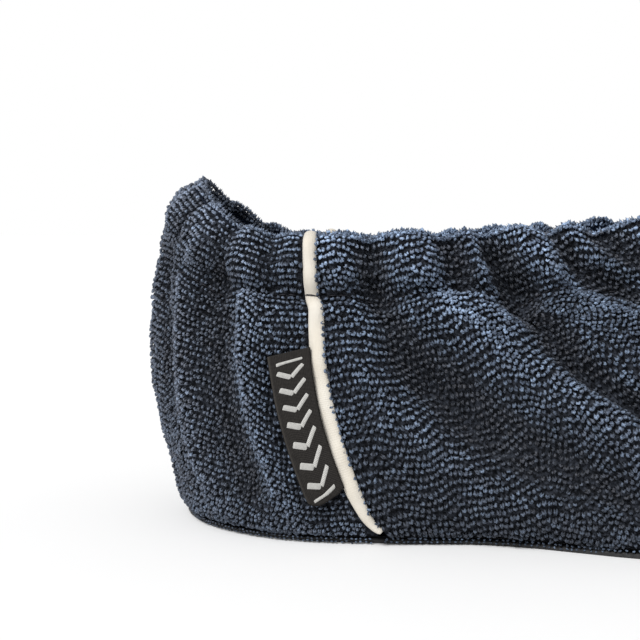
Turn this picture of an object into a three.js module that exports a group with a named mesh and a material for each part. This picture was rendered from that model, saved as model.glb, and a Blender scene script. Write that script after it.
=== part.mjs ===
// Anti-slip shoe grip: a stretch terry-knit cover, pulled over a shoe, that stands on its own grip sole.
// Millimetres. +X points at the toe, +Y to the left side, +Z up; the origin lies on the floor under the
// middle of the cover.
//
// The skin is a net of SECTIONS, closed outlines stacked from the sole seam up to the hem, and of STATIONS,
// places round each outline from the middle of the heel along the right side to the middle of the toe. Round
// the loop a place is a station number: 0 to 10 on the right side, 10 to 20 back along the left side. Up the
// cover a place is a section number, from 0 at the sole seam to 10 at the top of the hem.

import * as THREE from "three";

const SOLE_THICKNESS = 1.2;
const SOLE_EDGE_BEVEL = 0.3;
const SOLE_OUTLINE_POINTS = 84;
const PIPING_HALF_WIDTH = 1.75;
const PIPING_CROWN = 1.3; // how far the piping stands proud of the knit
const PIPING_BULGE = 1.1; // fullness of its round section: 1 would be a half circle that ends at the knit
const PIPING_FOOT = 0.5; // section number where the piping dives under the cover
const SEAM_CLEARANCE = 0.3; // gap between any two pieces that touch
const LABEL_WIDTH = 10.8;
const LABEL_THICKNESS = 0.9;
const LABEL_CORNER = 4.5; // radius of its loose lower corner
const SECTION_RISE = 18; // millimetres from one section number to the next beside the label
const FOLD_SAG = 0.5; // how far a row of the knit dips for each millimetre of a fold's depth
const FADE_IN = { below: 0.6, above: 1 }; // section numbers over which a fold's lower end fades
const FADE_OUT = { below: 0.7, above: 0.5 }; // and its upper end
const LEFT_FOLD_SHIFT = 0.12; // stations by which the left side's folds differ from the right side's
const LEFT_FOLD_SHARE = 0.9;
const TOP_OF_FACING = 8; // section number above which the casing keeps one facing all the way over the hem

// The outlines. back, seam and front: X at the heel's middle, at the side seam and at the toe's middle.
// heel, arch, waist and ball: half widths. backZ, sideZ and frontZ: heights. wall: thickness there.
const SECTIONS = [
  { name: "foot", back: -134.5, seam: -80.5, front: 139, heel: 37.2, arch: 36, waist: 45.4, ball: 53,
    backZ: 1.5, sideZ: 1.5, frontZ: 1.5, wall: 3 },
  { name: "edge", back: -137.6, seam: -83, front: 143.5, heel: 39.8, arch: 38.6, waist: 47, ball: 55.4,
    backZ: 3.8, sideZ: 3.4, frontZ: 4.5, wall: 3 },
  { name: "low", back: -139.6, seam: -88.2, front: 145, heel: 40.4, arch: 40.2, waist: 47.2, ball: 56,
    backZ: 14, sideZ: 13, frontZ: 17, wall: 3 },
  { name: "belly", back: -144, seam: -94.2, front: 141, heel: 40, arch: 40.4, waist: 44.8, ball: 54.2,
    backZ: 34, sideZ: 30, frontZ: 34, wall: 3 },
  { name: "wall", back: -144.6, seam: -96.9, front: 124, heel: 39.2, arch: 39.8, waist: 41, ball: 46,
    backZ: 50, sideZ: 44, frontZ: 48, wall: 3 },
  { name: "shoulder", back: -144, seam: -97.5, front: 92, heel: 37.8, arch: 38.2, waist: 38, ball: 38,
    backZ: 61, sideZ: 53, frontZ: 58, wall: 3 },
  { name: "puff", back: -143.2, seam: -97.8, front: 58, heel: 36.8, arch: 36.8, waist: 36, ball: 32,
    backZ: 66.5, sideZ: 57.8, frontZ: 65.5, wall: 3 },
  { name: "stitch", back: -142.6, seam: -98.8, front: 47, heel: 34.6, arch: 34.4, waist: 33.4, ball: 28.8,
    backZ: 69.5, sideZ: 60.3, frontZ: 68.5, wall: 3.6 },
  { name: "casing", back: -142, seam: -99.3, front: 41, heel: 35.8, arch: 35.6, waist: 34.4, ball: 29.6,
    backZ: 78, sideZ: 66.8, frontZ: 74.5, wall: 6.2 },
  { name: "rim", back: -136.8, seam: -99.4, front: 36, heel: 34.4, arch: 34.2, waist: 33, ball: 28.2,
    backZ: 87.2, sideZ: 73.2, frontZ: 80, wall: 5.2 },
  { name: "hem", back: -131.2, seam: -99.4, front: 33.2, heel: 31.4, arch: 31.2, waist: 30, ball: 25.4,
    backZ: 90.6, sideZ: 75, frontZ: 81.8, wall: 1.6 },
];

// Places round an outline. rear: share of the way from the back to the seam. fore: share of the way from the
// seam to the front. heel, arch, waist and ball: shares of those half widths. back and front: shares of the
// rise to backZ and frontZ. columns: facets from this station to the next.
const STATIONS = [
  { name: "heel_middle", rear: 0, fore: 0, heel: 0, arch: 0, waist: 0, ball: 0, back: 1, front: 0,
    columns: 6 },
  { name: "heel_corner", rear: 0.157, fore: 0, heel: 0.58, arch: 0, waist: 0, ball: 0, back: 0.62, front: 0,
    columns: 6 },
  { name: "heel_side", rear: 0.52, fore: 0, heel: 0.93, arch: 0, waist: 0, ball: 0, back: 0.12, front: 0,
    columns: 6 },
  { name: "seam", rear: 1, fore: 0, heel: 1, arch: 0, waist: 0, ball: 0, back: 0, front: 0, columns: 7 },
  { name: "arch", rear: 1, fore: 0.12, heel: 0, arch: 1, waist: 0, ball: 0, back: 0, front: 0, columns: 8 },
  { name: "waist", rear: 1, fore: 0.28, heel: 0, arch: 0, waist: 1, ball: 0, back: 0, front: 0.06,
    columns: 8 },
  { name: "instep", rear: 1, fore: 0.45, heel: 0, arch: 0, waist: 0.45, ball: 0.56, back: 0, front: 0.3,
    columns: 8 },
  { name: "ball", rear: 1, fore: 0.63, heel: 0, arch: 0, waist: 0, ball: 1, back: 0, front: 0.55,
    columns: 8 },
  { name: "toe_corner", rear: 1, fore: 0.84, heel: 0, arch: 0, waist: 0, ball: 0.86, back: 0, front: 0.85,
    columns: 6 },
  { name: "toe_side", rear: 1, fore: 0.955, heel: 0, arch: 0, waist: 0, ball: 0.5, back: 0, front: 0.97,
    columns: 5 },
  { name: "toe_middle", rear: 1, fore: 1, heel: 0, arch: 0, waist: 0, ball: 0, back: 0, front: 1 },
];

// The right side's folds. path: section numbers and stations that the fold's middle runs through, from the
// lowest. width: half width. rise: height, negative in a valley. high and low: section numbers where it fades.
// lean: share by which it is wider on its far side and narrower on its near side.
const FOLDS = [
  { path: [[0, 0.3]], width: 6, rise: 1, high: 6.8, low: 1.4 },
  { path: [[3.6, 0.9], [5, 0.8], [6.8, 0.66]], width: 4.2, rise: -2.6, high: 8, low: 2.6 },
  { path: [[2.5, 1.33], [4.5, 1.36], [6.6, 1.25]], width: 3.2, rise: 2.6, high: 6.9, low: 1.4, lean: 0.3 },
  { path: [[2.6, 1.9], [4.5, 1.85], [6.8, 1.8]], width: 6, rise: -3.2, high: 8, low: 1.4, lean: -0.2 },
  { path: [[2.5, 2.26], [4, 2.22], [7, 2.2]], width: 3.4, rise: 3, high: 6.8, low: 1.6, lean: 0.5 },
  { path: [[0, 2.45]], width: 4, rise: -1.8, high: 4.4, low: 1.2 },
  { path: [[0, 2.56]], width: 5, rise: 1.2, high: 6.9, low: 4.8 },
  { path: [[0, 2.75]], width: 6, rise: -1, high: 4.6, low: 1 },
  { path: [[0, 3.42]], width: 6, rise: 1.2, high: 6.8, low: 4 },
  { path: [[2, 4.17], [2.4, 4], [2.9, 3.75], [3.6, 3.53], [4.2, 3.3]],
    width: 5.5, rise: 2, high: 4.6, low: 1 },
  { path: [[1.9, 4.74], [2.2, 4.53], [2.8, 4.2], [3.8, 3.94], [4.7, 3.84], [7.1, 3.95], [10, 3.88]],
    width: 4.6, rise: -3.4, high: 9.6, low: 2.2 },
  { path: [[1.6, 4.88], [2, 4.64], [2.8, 4.3], [3.6, 4.06], [4.4, 3.98]],
    width: 9, rise: -2.4, high: 4.6, low: 1 },
  { path: [[5, 4.5], [6, 4.5]], width: 6, rise: 1.4, high: 6.9, low: 4.6 },
  { path: [[2.4, 5.35], [3.3, 4.96], [3.8, 4.76], [4.4, 4.66], [5.2, 4.74], [6, 4.88]],
    width: 8.6, rise: 3.4, high: 6.8, low: 1.6, lean: -0.45 },
  { path: [[2.4, 5.6], [3.4, 5.2], [3.8, 5.02], [4.4, 4.94], [5.5, 5.08], [7.1, 5.33], [9, 5.2]],
    width: 4.4, rise: -5.4, high: 9.2, low: 2.2, lean: 0.3 },
  { path: [[3.3, 5.75], [4.4, 5.6], [6, 5.85]], width: 8, rise: 1.8, high: 6.8, low: 1.8 },
  { path: [[3, 6.5], [6, 6.3]], width: 6, rise: -3.2, high: 9.5, low: 2.4 },
  { path: [[0, 6.9]], width: 9, rise: 2.2, high: 6.8, low: 2 },
  { path: [[0, 7.4]], width: 6.5, rise: -2.8, high: 9.5, low: 3 },
  { path: [[0, 8]], width: 8, rise: 1.8, high: 6.8, low: 3 },
  { path: [[0, 8.6]], width: 6, rise: -2.4, high: 9.5, low: 3.4 },
  { path: [[0, 9.3]], width: 7, rise: 1.6, high: 6.8, low: 3.6 },
  { path: [[0, 0.62]], width: 4, rise: 0.5, high: 11, low: 7 },
  { path: [[0, 0.98]], width: 3.4, rise: -0.7, high: 11, low: 7 },
  { path: [[7, 1.44], [10, 1.34]], width: 3.5, rise: 0.8, high: 11, low: 7 },
  { path: [[7, 1.87], [10, 1.78]], width: 3.4, rise: -1, high: 11, low: 7 },
  { path: [[7, 2.27], [10, 2.1]], width: 3.5, rise: 0.9, high: 11, low: 7 },
  { path: [[7, 2.57], [10, 2.42]], width: 3.4, rise: -0.7, high: 10, low: 7 },
  { path: [[0, 2.72]], width: 3.4, rise: 0.5, high: 11, low: 7 },
  { path: [[0, 3.4]], width: 4.5, rise: 0.8, high: 11, low: 7 },
  { path: [[0, 3.9]], width: 3.4, rise: -0.6, high: 11, low: 6.8 },
  { path: [[7, 4.35], [10, 4.25]], width: 6, rise: 0.8, high: 11, low: 7 },
  { path: [[7, 4.62], [10, 4.53]], width: 3.4, rise: 0.9, high: 11, low: 7, lean: -0.3 },
  { path: [[7.2, 4.9], [10, 4.76]], width: 3.8, rise: -1.8, high: 9.6, low: 7.2 },
  { path: [[8, 5.12], [10, 5]], width: 3.4, rise: 1.2, high: 11, low: 7 },
  { path: [[7, 5.35], [10, 5.2]], width: 3.4, rise: -0.7, high: 10, low: 7 },
  { path: [[7, 5.92], [8.2, 5.7], [10, 5.5]], width: 4.8, rise: 1.4, high: 11, low: 6.8 },
  { path: [[7, 6.05], [10, 5.9]], width: 3.4, rise: -1.7, high: 10.4, low: 7 },
  { path: [[7, 6.46], [8.9, 6.15], [10, 6.06]], width: 3.8, rise: 1.4, high: 11, low: 7 },
  { path: [[7, 6.75], [8.8, 6.5], [10, 6.36]], width: 3.4, rise: -1.6, high: 10.4, low: 7 },
  { path: [[7, 7.14], [10, 6.8]], width: 4, rise: 1.2, high: 11, low: 7, lean: -0.2 },
  { path: [[7, 7.4], [10, 7.12]], width: 3.6, rise: -1.2, high: 10.2, low: 7 },
  { path: [[7, 7.74], [10, 7.5]], width: 4, rise: 1, high: 11, low: 7, lean: -0.2 },
  { path: [[0, 8.1]], width: 3.6, rise: -0.9, high: 10.2, low: 7 },
  { path: [[0, 8.5]], width: 4.5, rise: 0.8, high: 11, low: 7 },
  { path: [[0, 9]], width: 3.6, rise: -0.8, high: 10.2, low: 7 },
  { path: [[0, 9.5]], width: 4.5, rise: 0.7, high: 11, low: 7 },
];

// Rows of facets up the panels, as section numbers.
const PANEL_ROWS = [0, 1, 2, 2.5, 3, 3.5, 4, 4.5, 5, 5.5, 6, 7, 8, 9, 10];
const PIPING_ROWS = [PIPING_FOOT, ...PANEL_ROWS.slice(1)];
const PIPING_SHARES = [-1, -0.6, 0, 0.6, 1]; // places across the piping, as shares of its half width

const SOLE = { back: -136, seam: -80, front: 141, heel: 36.6, arch: 36.4, waist: 46.6, ball: 54.2,
  backZ: 0, sideZ: 0, frontZ: 0 };

// Where the label lies on the skin: the section numbers of its ends at its loose edge, how much higher they
// are at the seam, and how far it stands off the skin at either edge.
const LABEL = { lowEnd: 1.6, highEnd: 4.15, seamLift: 0.28, seamStandOff: 0.4, looseStandOff: 1.3 };
const LOWER_LIFT = 1.8; // how many times more its lower end is lifted at the seam than its upper end
const LABEL_ROWS = 9;
const LABEL_COLUMNS = 6;

const LAST_STATION = STATIONS.length - 1;
const LOOP = 2 * LAST_STATION; // stations all the way round
const LAST_SECTION = SECTIONS.length - 1;
const RIGHT_SEAM = STATIONS.findIndex((station) => station.name === "seam");
const LEFT_SEAM = LOOP - RIGHT_SEAM;

const lerp = THREE.MathUtils.lerp;
const smoothstep = THREE.MathUtils.smoothstep;

/** The point of an outline at a station, on the right side (side -1) or the left (side 1). */
function outlinePoint(outline, station, side) {
  const x = outline.back + (outline.seam - outline.back) * station.rear
    + (outline.front - outline.seam) * station.fore;
  const y = outline.heel * station.heel + outline.arch * station.arch + outline.waist * station.waist
    + outline.ball * station.ball;
  const z = outline.sideZ + (outline.backZ - outline.sideZ) * station.back
    + (outline.frontZ - outline.sideZ) * station.front;
  return new THREE.Vector3(x, side * y, z);
}

/** The closed curve of an outline, through the right side's stations and back through the left side's. */
function outlineCurve(outline) {
  const right = STATIONS.map((station) => outlinePoint(outline, station, -1));
  const left = STATIONS.slice(1, -1).reverse().map((station) => outlinePoint(outline, station, 1));
  return new THREE.CatmullRomCurve3([...right, ...left], true, "centripetal");
}

const skinCurves = SECTIONS.map(outlineCurve);

/** The smooth skin, without its folds, at a place round the loop and a section number. */
function skinPoint(place, level) {
  const turn = THREE.MathUtils.euclideanModulo(place, LOOP) / LOOP;
  const rib = skinCurves.map((curve) => curve.getPoint(turn));
  return new THREE.CatmullRomCurve3(rib, false, "centripetal").getPoint(level / LAST_SECTION);
}

/** The skin's directions at a place, up the rib and outwards, and its pace: millimetres per station. */
function skinFrame(place, level) {
  const step = 0.02;
  const height = THREE.MathUtils.clamp(level, step, LAST_SECTION - step);
  const round = skinPoint(place + step, height).sub(skinPoint(place - step, height));
  const up = skinPoint(place, height + step).sub(skinPoint(place, height - step)).normalize();
  const pace = round.length() / (2 * step);
  const outwards = round.normalize().clone().cross(up).normalize();
  return { up, outwards, pace };
}

/** The same fold on the left side, a little further round and a little lower. */
function leftFold(fold) {
  const { path, rise, lean = 0 } = fold;
  const leftPath = path.map(([level, place]) => [level, LOOP - place + LEFT_FOLD_SHIFT]);
  return { ...fold, path: leftPath, rise: rise * LEFT_FOLD_SHARE, lean: -lean };
}

/** The place of a fold's middle at a section number. */
function foldPlace({ path }, level) {
  const next = path.findIndex(([knot]) => knot > level);
  if (next <= 0) return next === 0 ? path[0][1] : path[path.length - 1][1];
  const [[low, from], [high, to]] = path.slice(next - 1, next + 1);
  return lerp(from, to, (level - low) / (high - low));
}

const allFolds = [...FOLDS, ...FOLDS.map(leftFold)];

/** How far the folds lift the skin at a place, where the loop runs at pace millimetres per station. */
function foldHeight(place, level, pace) {
  let height = 0;
  for (const fold of allFolds) {
    const ahead = place - foldPlace(fold, level);
    const distance = (ahead - LOOP * Math.round(ahead / LOOP)) * pace / fold.width;
    const widened = 1 + (fold.lean ?? 0) * Math.tanh(2 * distance);
    const fadeIn = smoothstep(level, fold.low - FADE_IN.below, fold.low + FADE_IN.above);
    const fadeOut = 1 - smoothstep(level, fold.high - FADE_OUT.below, fold.high + FADE_OUT.above);
    height += fold.rise * fadeIn * fadeOut * Math.exp(-((distance / widened) ** 2));
  }
  return height;
}

/** A point a given depth inside the folded skin. */
function foldedPoint(place, level, depth) {
  const { up, pace } = skinFrame(place, level);
  const { outwards } = skinFrame(place, Math.min(level, TOP_OF_FACING));
  const height = foldHeight(place, level, pace);
  return skinPoint(place, level)
    .addScaledVector(outwards, height - depth)
    .addScaledVector(up, FOLD_SAG * height);
}

/** The wall's thickness at a section number. */
function wallAt(level) {
  const below = Math.min(Math.floor(level), LAST_SECTION - 1);
  return lerp(SECTIONS[below].wall, SECTIONS[below + 1].wall, level - below);
}

/** Stations in a stretch of the loop that is so many millimetres long. */
function stationsIn(millimetres, place, level) {
  return millimetres / skinFrame(place, level).pace;
}

/** Two triangles over four corners in turn, split along the shorter diagonal. */
function quad(points, a, b, c, d) {
  const splitAC = points[a].distanceToSquared(points[c]) <= points[b].distanceToSquared(points[d]);
  return splitAC ? [a, b, c, a, c, d] : [a, b, d, b, c, d];
}

/** A closed sheet from a grid of rows of outer points and the matching grid of inner points. */
function closedSheet(outer, inner) {
  const rows = outer.length;
  const columns = outer[0].length;
  const points = [...outer.flat(), ...inner.flat()];
  const front = (row, column) => row * columns + column;
  const back = (row, column) => rows * columns + front(row, column);
  const triangles = [];
  const add = (a, b, c, d) => triangles.push(...quad(points, a, b, c, d));
  const [top, right] = [rows - 1, columns - 1];
  for (let row = 0; row < top; row++) {
    const above = row + 1;
    for (let column = 0; column < right; column++) {
      const next = column + 1;
      add(front(row, column), front(row, next), front(above, next), front(above, column));
      add(back(row, column), back(above, column), back(above, next), back(row, next));
    }
    add(front(row, 0), front(above, 0), back(above, 0), back(row, 0));
    add(front(row, right), back(row, right), back(above, right), front(above, right));
  }
  for (let column = 0; column < right; column++) {
    const next = column + 1;
    add(front(0, column), back(0, column), back(0, next), front(0, next));
    add(front(top, column), front(top, next), back(top, next), back(top, column));
  }
  const geometry = new THREE.BufferGeometry();
  geometry.setAttribute("position", new THREE.Float32BufferAttribute(points.flatMap((p) => p.toArray()), 3));
  geometry.setIndex(triangles);
  return geometry;
}

/** Facet columns between two stations, as shares of the way from the first to the last. */
function columnShares(first, last) {
  const places = [first];
  for (let place = first; place < last; place++) {
    const nearest = place < LAST_STATION ? Math.abs(place + 0.5) : LOOP - place - 0.5;
    const { columns } = STATIONS[Math.floor(nearest)];
    for (let column = 1; column <= columns; column++) places.push(place + column / columns);
  }
  return places.map((place) => (place - first) / (last - first));
}

/** A knit panel from one seam to the other, clear of the pipings. */
function panel(first, last) {
  const shares = columnShares(first, last);
  const edge = PIPING_HALF_WIDTH + SEAM_CLEARANCE;
  const grid = (depthAt) => PANEL_ROWS.map((level) => {
    const from = first + stationsIn(edge, first, level);
    const to = last - stationsIn(edge, last, level);
    return shares.map((share) => foldedPoint(lerp(from, to, share), level, depthAt(level)));
  });
  return closedSheet(grid(() => 0), grid(wallAt));
}

/** The piping in a side seam: it fills the gap between the panels and stands proud of them. */
function piping(seam) {
  const grid = (depthAt) => PIPING_ROWS.map((level) => {
    const half = stationsIn(PIPING_HALF_WIDTH, seam, level);
    return PIPING_SHARES.map((share) => foldedPoint(seam + share * half, level, depthAt(level, share)));
  });
  const crown = (level, share) => -PIPING_CROWN * Math.sqrt(PIPING_BULGE - share * share);
  return closedSheet(grid(crown), grid(wallAt));
}

/** The folded label, held by the right seam, with its loose lower corner rounded. */
function label() {
  const seamEdge = PIPING_HALF_WIDTH + SEAM_CLEARANCE;
  const grid = (height) => Array.from({ length: LABEL_ROWS + 1 }, (_, row) => (
    Array.from({ length: LABEL_COLUMNS + 1 }, (_, column) => {
      const share = column / LABEL_COLUMNS; // from the loose edge to the seam
      const inset = Math.max(0, LABEL_CORNER - share * LABEL_WIDTH);
      const corner = LABEL_CORNER - Math.sqrt(LABEL_CORNER ** 2 - inset ** 2);
      const lowEnd = LABEL.lowEnd + corner / SECTION_RISE;
      const up = row / LABEL_ROWS;
      const level = lerp(lowEnd, LABEL.highEnd, up) + LABEL.seamLift * share * lerp(LOWER_LIFT, 1, up);
      const back = seamEdge + (1 - share) * LABEL_WIDTH;
      const place = RIGHT_SEAM - stationsIn(back, RIGHT_SEAM, level);
      const standOff = lerp(LABEL.looseStandOff, LABEL.seamStandOff, share);
      return skinPoint(place, level).addScaledVector(skinFrame(place, level).outwards, standOff + height);
    })
  ));
  return closedSheet(grid(LABEL_THICKNESS), grid(0));
}

/** The grip sole, flat on the floor, with its edge bevelled. */
function sole() {
  const outline = outlineCurve(SOLE).getPoints(SOLE_OUTLINE_POINTS).slice(0, -1);
  const shape = new THREE.Shape(outline.map((point) => new THREE.Vector2(point.x, point.y)));
  const geometry = new THREE.ExtrudeGeometry(shape, {
    depth: SOLE_THICKNESS - 2 * SOLE_EDGE_BEVEL,
    bevelThickness: SOLE_EDGE_BEVEL,
    bevelSize: SOLE_EDGE_BEVEL,
    bevelOffset: -SOLE_EDGE_BEVEL,
    bevelSegments: 1,
  });
  return geometry.translate(0, 0, SOLE_EDGE_BEVEL);
}

const knit = { color: 0x26304a, roughness: 0.95, metalness: 0 };
const whiteCord = { color: 0xe9e2d4, roughness: 0.8, metalness: 0 };
const wovenBlack = { color: 0x211f1d, roughness: 0.85, metalness: 0 };
const gripRubber = { color: 0x161616, roughness: 0.7, metalness: 0 };

const pieces = [
  { name: "heel_panel", geometry: panel(-RIGHT_SEAM, RIGHT_SEAM), finish: knit },
  { name: "front_panel", geometry: panel(RIGHT_SEAM, LEFT_SEAM), finish: knit },
  { name: "piping_right", geometry: piping(RIGHT_SEAM), finish: whiteCord },
  { name: "piping_left", geometry: piping(LEFT_SEAM), finish: whiteCord },
  { name: "label", geometry: label(), finish: wovenBlack },
  { name: "sole", geometry: sole(), finish: gripRubber },
];

const shoeGrip = new THREE.Group();
shoeGrip.name = "anti_slip_shoe_grip";
for (const { name, geometry, finish } of pieces) {
  const mesh = new THREE.Mesh(geometry, new THREE.MeshStandardMaterial(finish));
  mesh.name = name;
  shoeGrip.add(mesh);
}

export default shoeGrip;
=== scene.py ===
"""Looks of an anti-slip shoe grip: a terry-knit cover, pulled over a shoe, with a grip sole under it.

The cover's skin is a function of a place and a level. A place runs round the cover, 0 to 20: from the middle
of the heel along the right side to the toe at 10, and back along the left side. A level runs up it, from 0 at
the sole seam to 10 at the top of the hem. The tables repeat the sizes of the solid model, in millimetres.
"""

import logging
import math
from collections.abc import Callable
from dataclasses import dataclass, field, replace
from enum import Enum

import bmesh
import bpy
import numpy as np
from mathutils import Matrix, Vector


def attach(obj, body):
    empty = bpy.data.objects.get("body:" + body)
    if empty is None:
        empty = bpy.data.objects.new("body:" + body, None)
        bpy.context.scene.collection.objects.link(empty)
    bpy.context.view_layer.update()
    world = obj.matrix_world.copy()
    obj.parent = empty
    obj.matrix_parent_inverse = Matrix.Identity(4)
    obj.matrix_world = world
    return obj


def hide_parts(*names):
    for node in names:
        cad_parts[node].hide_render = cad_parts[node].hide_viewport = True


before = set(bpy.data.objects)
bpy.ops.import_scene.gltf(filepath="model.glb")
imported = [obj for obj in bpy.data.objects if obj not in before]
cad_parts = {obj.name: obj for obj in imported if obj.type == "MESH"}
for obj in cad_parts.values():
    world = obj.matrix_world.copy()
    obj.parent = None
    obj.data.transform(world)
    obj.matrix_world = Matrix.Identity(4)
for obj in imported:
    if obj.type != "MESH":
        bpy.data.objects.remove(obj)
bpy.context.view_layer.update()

log = logging.getLogger("shoe_grip")

MM = 0.001
TAU = 2 * math.pi
LOOP = 20  # places all the way round
TOP = 10  # level of the hem's top
RIGHT_SEAM = 3
LEFT_SEAM = 17
TOE = 10
STITCH_LEVEL = 7  # the seam that closes the casing
LEFT_SHIFT = 0.12  # how much further round the folds of the left side are, in places
LEFT_RISE = 0.9  # their height, against that of the right side's folds
WELD = 2e-6  # metres within which the points of a grid are merged
BODY = "root"
BAKE_UV = "OFBake"

Array = np.ndarray


class Slant(Enum):
    """Which way the loops of a panel lean, seen from outside."""

    FORWARD = 1
    BACKWARD = -1


@dataclass(frozen=True)
class Outline:
    """A closed outline of the cover at one level, in millimetres.

    back, seam and front are X at the heel's middle, at the side seam and at the toe's middle. heel, arch,
    waist and ball are half widths. back_z, side_z and front_z are heights. wall is the thickness there.
    """

    name: str
    back: float
    seam: float
    front: float
    heel: float
    arch: float
    waist: float
    ball: float
    back_z: float
    side_z: float
    front_z: float
    wall: float


@dataclass(frozen=True)
class Station:
    """A place on an outline, as shares of that outline's sizes."""

    name: str
    rear: float
    fore: float
    heel: float
    arch: float
    waist: float
    ball: float
    back: float
    front: float


@dataclass(frozen=True)
class Fold:
    """A fold of the skin.

    path is the place of its middle, or the levels and places that its middle runs through, from the lowest.
    width is its half width and rise its height in millimetres, and high and low are the levels that it fades
    out at. lean widens it on its far side by that share and narrows it on its near side.
    """

    path: float | tuple[tuple[float, float], ...]
    width: float
    rise: float
    high: float
    low: float
    lean: float = 0.0

    def middle(self, level: Array) -> Array:
        """The place of its middle at a level."""
        if isinstance(self.path, tuple):
            return np.interp(level, *zip(*self.path))
        return np.full_like(level, self.path)

    def on_the_left(self) -> "Fold":
        """The same fold on the left side, a little further round and a little lower."""
        away = LOOP + LEFT_SHIFT
        if isinstance(self.path, tuple):
            path = tuple((level, away - at) for level, at in self.path)
        else:
            path = away - self.path
        return replace(self, path=path, rise=self.rise * LEFT_RISE, lean=-self.lean)

    def presence(self, level: Array) -> Array:
        """How much of its height it has at a level, from 0 to 1."""
        begun = smoothstep(level, self.low - 0.6, self.low + 1)
        return begun * (1 - smoothstep(level, self.high - 0.7, self.high + 0.5))


OUTLINES = (
    Outline("foot", -134.5, -80.5, 139, 37.2, 36, 45.4, 53, 1.5, 1.5, 1.5, 3),
    Outline("edge", -137.6, -83, 143.5, 39.8, 38.6, 47, 55.4, 3.8, 3.4, 4.5, 3),
    Outline("low", -139.6, -88.2, 145, 40.4, 40.2, 47.2, 56, 14, 13, 17, 3),
    Outline("belly", -144, -94.2, 141, 40, 40.4, 44.8, 54.2, 34, 30, 34, 3),
    Outline("wall", -144.6, -96.9, 124, 39.2, 39.8, 41, 46, 50, 44, 48, 3),
    Outline("shoulder", -144, -97.5, 92, 37.8, 38.2, 38, 38, 61, 53, 58, 3),
    Outline("puff", -143.2, -97.8, 58, 36.8, 36.8, 36, 32, 66.5, 57.8, 65.5, 3),
    Outline("stitch", -142.6, -98.8, 47, 34.6, 34.4, 33.4, 28.8, 69.5, 60.3, 68.5, 3.6),
    Outline("casing", -142, -99.3, 41, 35.8, 35.6, 34.4, 29.6, 78, 66.8, 74.5, 6.2),
    Outline("rim", -136.8, -99.4, 36, 34.4, 34.2, 33, 28.2, 87.2, 73.2, 80, 5.2),
    Outline("hem", -131.2, -99.4, 33.2, 31.4, 31.2, 30, 25.4, 90.6, 75, 81.8, 1.6),
)

STATIONS = (
    Station("heel_middle", 0, 0, 0, 0, 0, 0, 1, 0),
    Station("heel_corner", 0.157, 0, 0.58, 0, 0, 0, 0.62, 0),
    Station("heel_side", 0.52, 0, 0.93, 0, 0, 0, 0.12, 0),
    Station("seam", 1, 0, 1, 0, 0, 0, 0, 0),
    Station("arch", 1, 0.12, 0, 1, 0, 0, 0, 0),
    Station("waist", 1, 0.28, 0, 0, 1, 0, 0, 0.06),
    Station("instep", 1, 0.45, 0, 0, 0.45, 0.56, 0, 0.3),
    Station("ball", 1, 0.63, 0, 0, 0, 1, 0, 0.55),
    Station("toe_corner", 1, 0.84, 0, 0, 0, 0.86, 0, 0.85),
    Station("toe_side", 1, 0.955, 0, 0, 0, 0.5, 0, 0.97),
    Station("toe_middle", 1, 1, 0, 0, 0, 0, 0, 1),
)

BODY_FOLDS = (
    Fold(0.3, 6, 1, 6.8, 1.4),
    Fold(((3.6, 0.9), (5, 0.8), (6.8, 0.66)), 4.2, -2.6, 8, 2.6),
    Fold(((2.5, 1.33), (4.5, 1.36), (6.6, 1.25)), 3.2, 2.6, 6.9, 1.4, 0.3),
    Fold(((2.6, 1.9), (4.5, 1.85), (6.8, 1.8)), 6, -3.2, 8, 1.4, -0.2),
    Fold(((2.5, 2.26), (4, 2.22), (7, 2.2)), 3.4, 3, 6.8, 1.6, 0.5),
    Fold(2.45, 4, -1.8, 4.4, 1.2),
    Fold(2.56, 5, 1.2, 6.9, 4.8),
    Fold(2.75, 6, -1, 4.6, 1),
    Fold(3.42, 6, 1.2, 6.8, 4),
    Fold(((2, 4.17), (2.4, 4), (2.9, 3.75), (3.6, 3.53), (4.2, 3.3)), 5.5, 2, 4.6, 1),
    Fold(
        ((1.9, 4.74), (2.2, 4.53), (2.8, 4.2), (3.8, 3.94), (4.7, 3.84), (7.1, 3.95), (10, 3.88)),
        4.6, -3.4, 9.6, 2.2,
    ),
    Fold(((1.4, 5.5), (1.9, 5.1), (2.4, 4.75), (2.9, 4.45), (3.6, 4.12), (4.4, 3.98)), 10, -3, 4.6, 1),
    Fold(((5, 4.5), (6, 4.5)), 6, 1.4, 6.9, 4.6),
    Fold(
        ((2.4, 5.35), (3.3, 4.96), (3.8, 4.76), (4.4, 4.66), (5.2, 4.74), (6, 4.88)),
        8.4, 2.8, 6.8, 1.6, -0.45,
    ),
    Fold(
        ((2.4, 5.6), (3.4, 5.2), (3.8, 5.02), (4.4, 4.94), (5.5, 5.08), (7.1, 5.33), (9, 5.2)),
        4.4, -5.4, 9.2, 2.2, 0.3,
    ),
    Fold(((3.3, 5.75), (4.4, 5.6), (6, 5.9)), 8, 1.2, 6.6, 1.8),
    Fold(((3, 6.5), (6, 6.3)), 6, -3.2, 9.5, 2.4),
    Fold(6.9, 9, 2.2, 6.8, 2),
    Fold(7.4, 6.5, -2.8, 9.5, 3),
    Fold(8, 8, 1.8, 6.8, 3),
    Fold(8.6, 6, -2.4, 9.5, 3.4),
    Fold(9.3, 7, 1.6, 6.8, 3.6),
)

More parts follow.
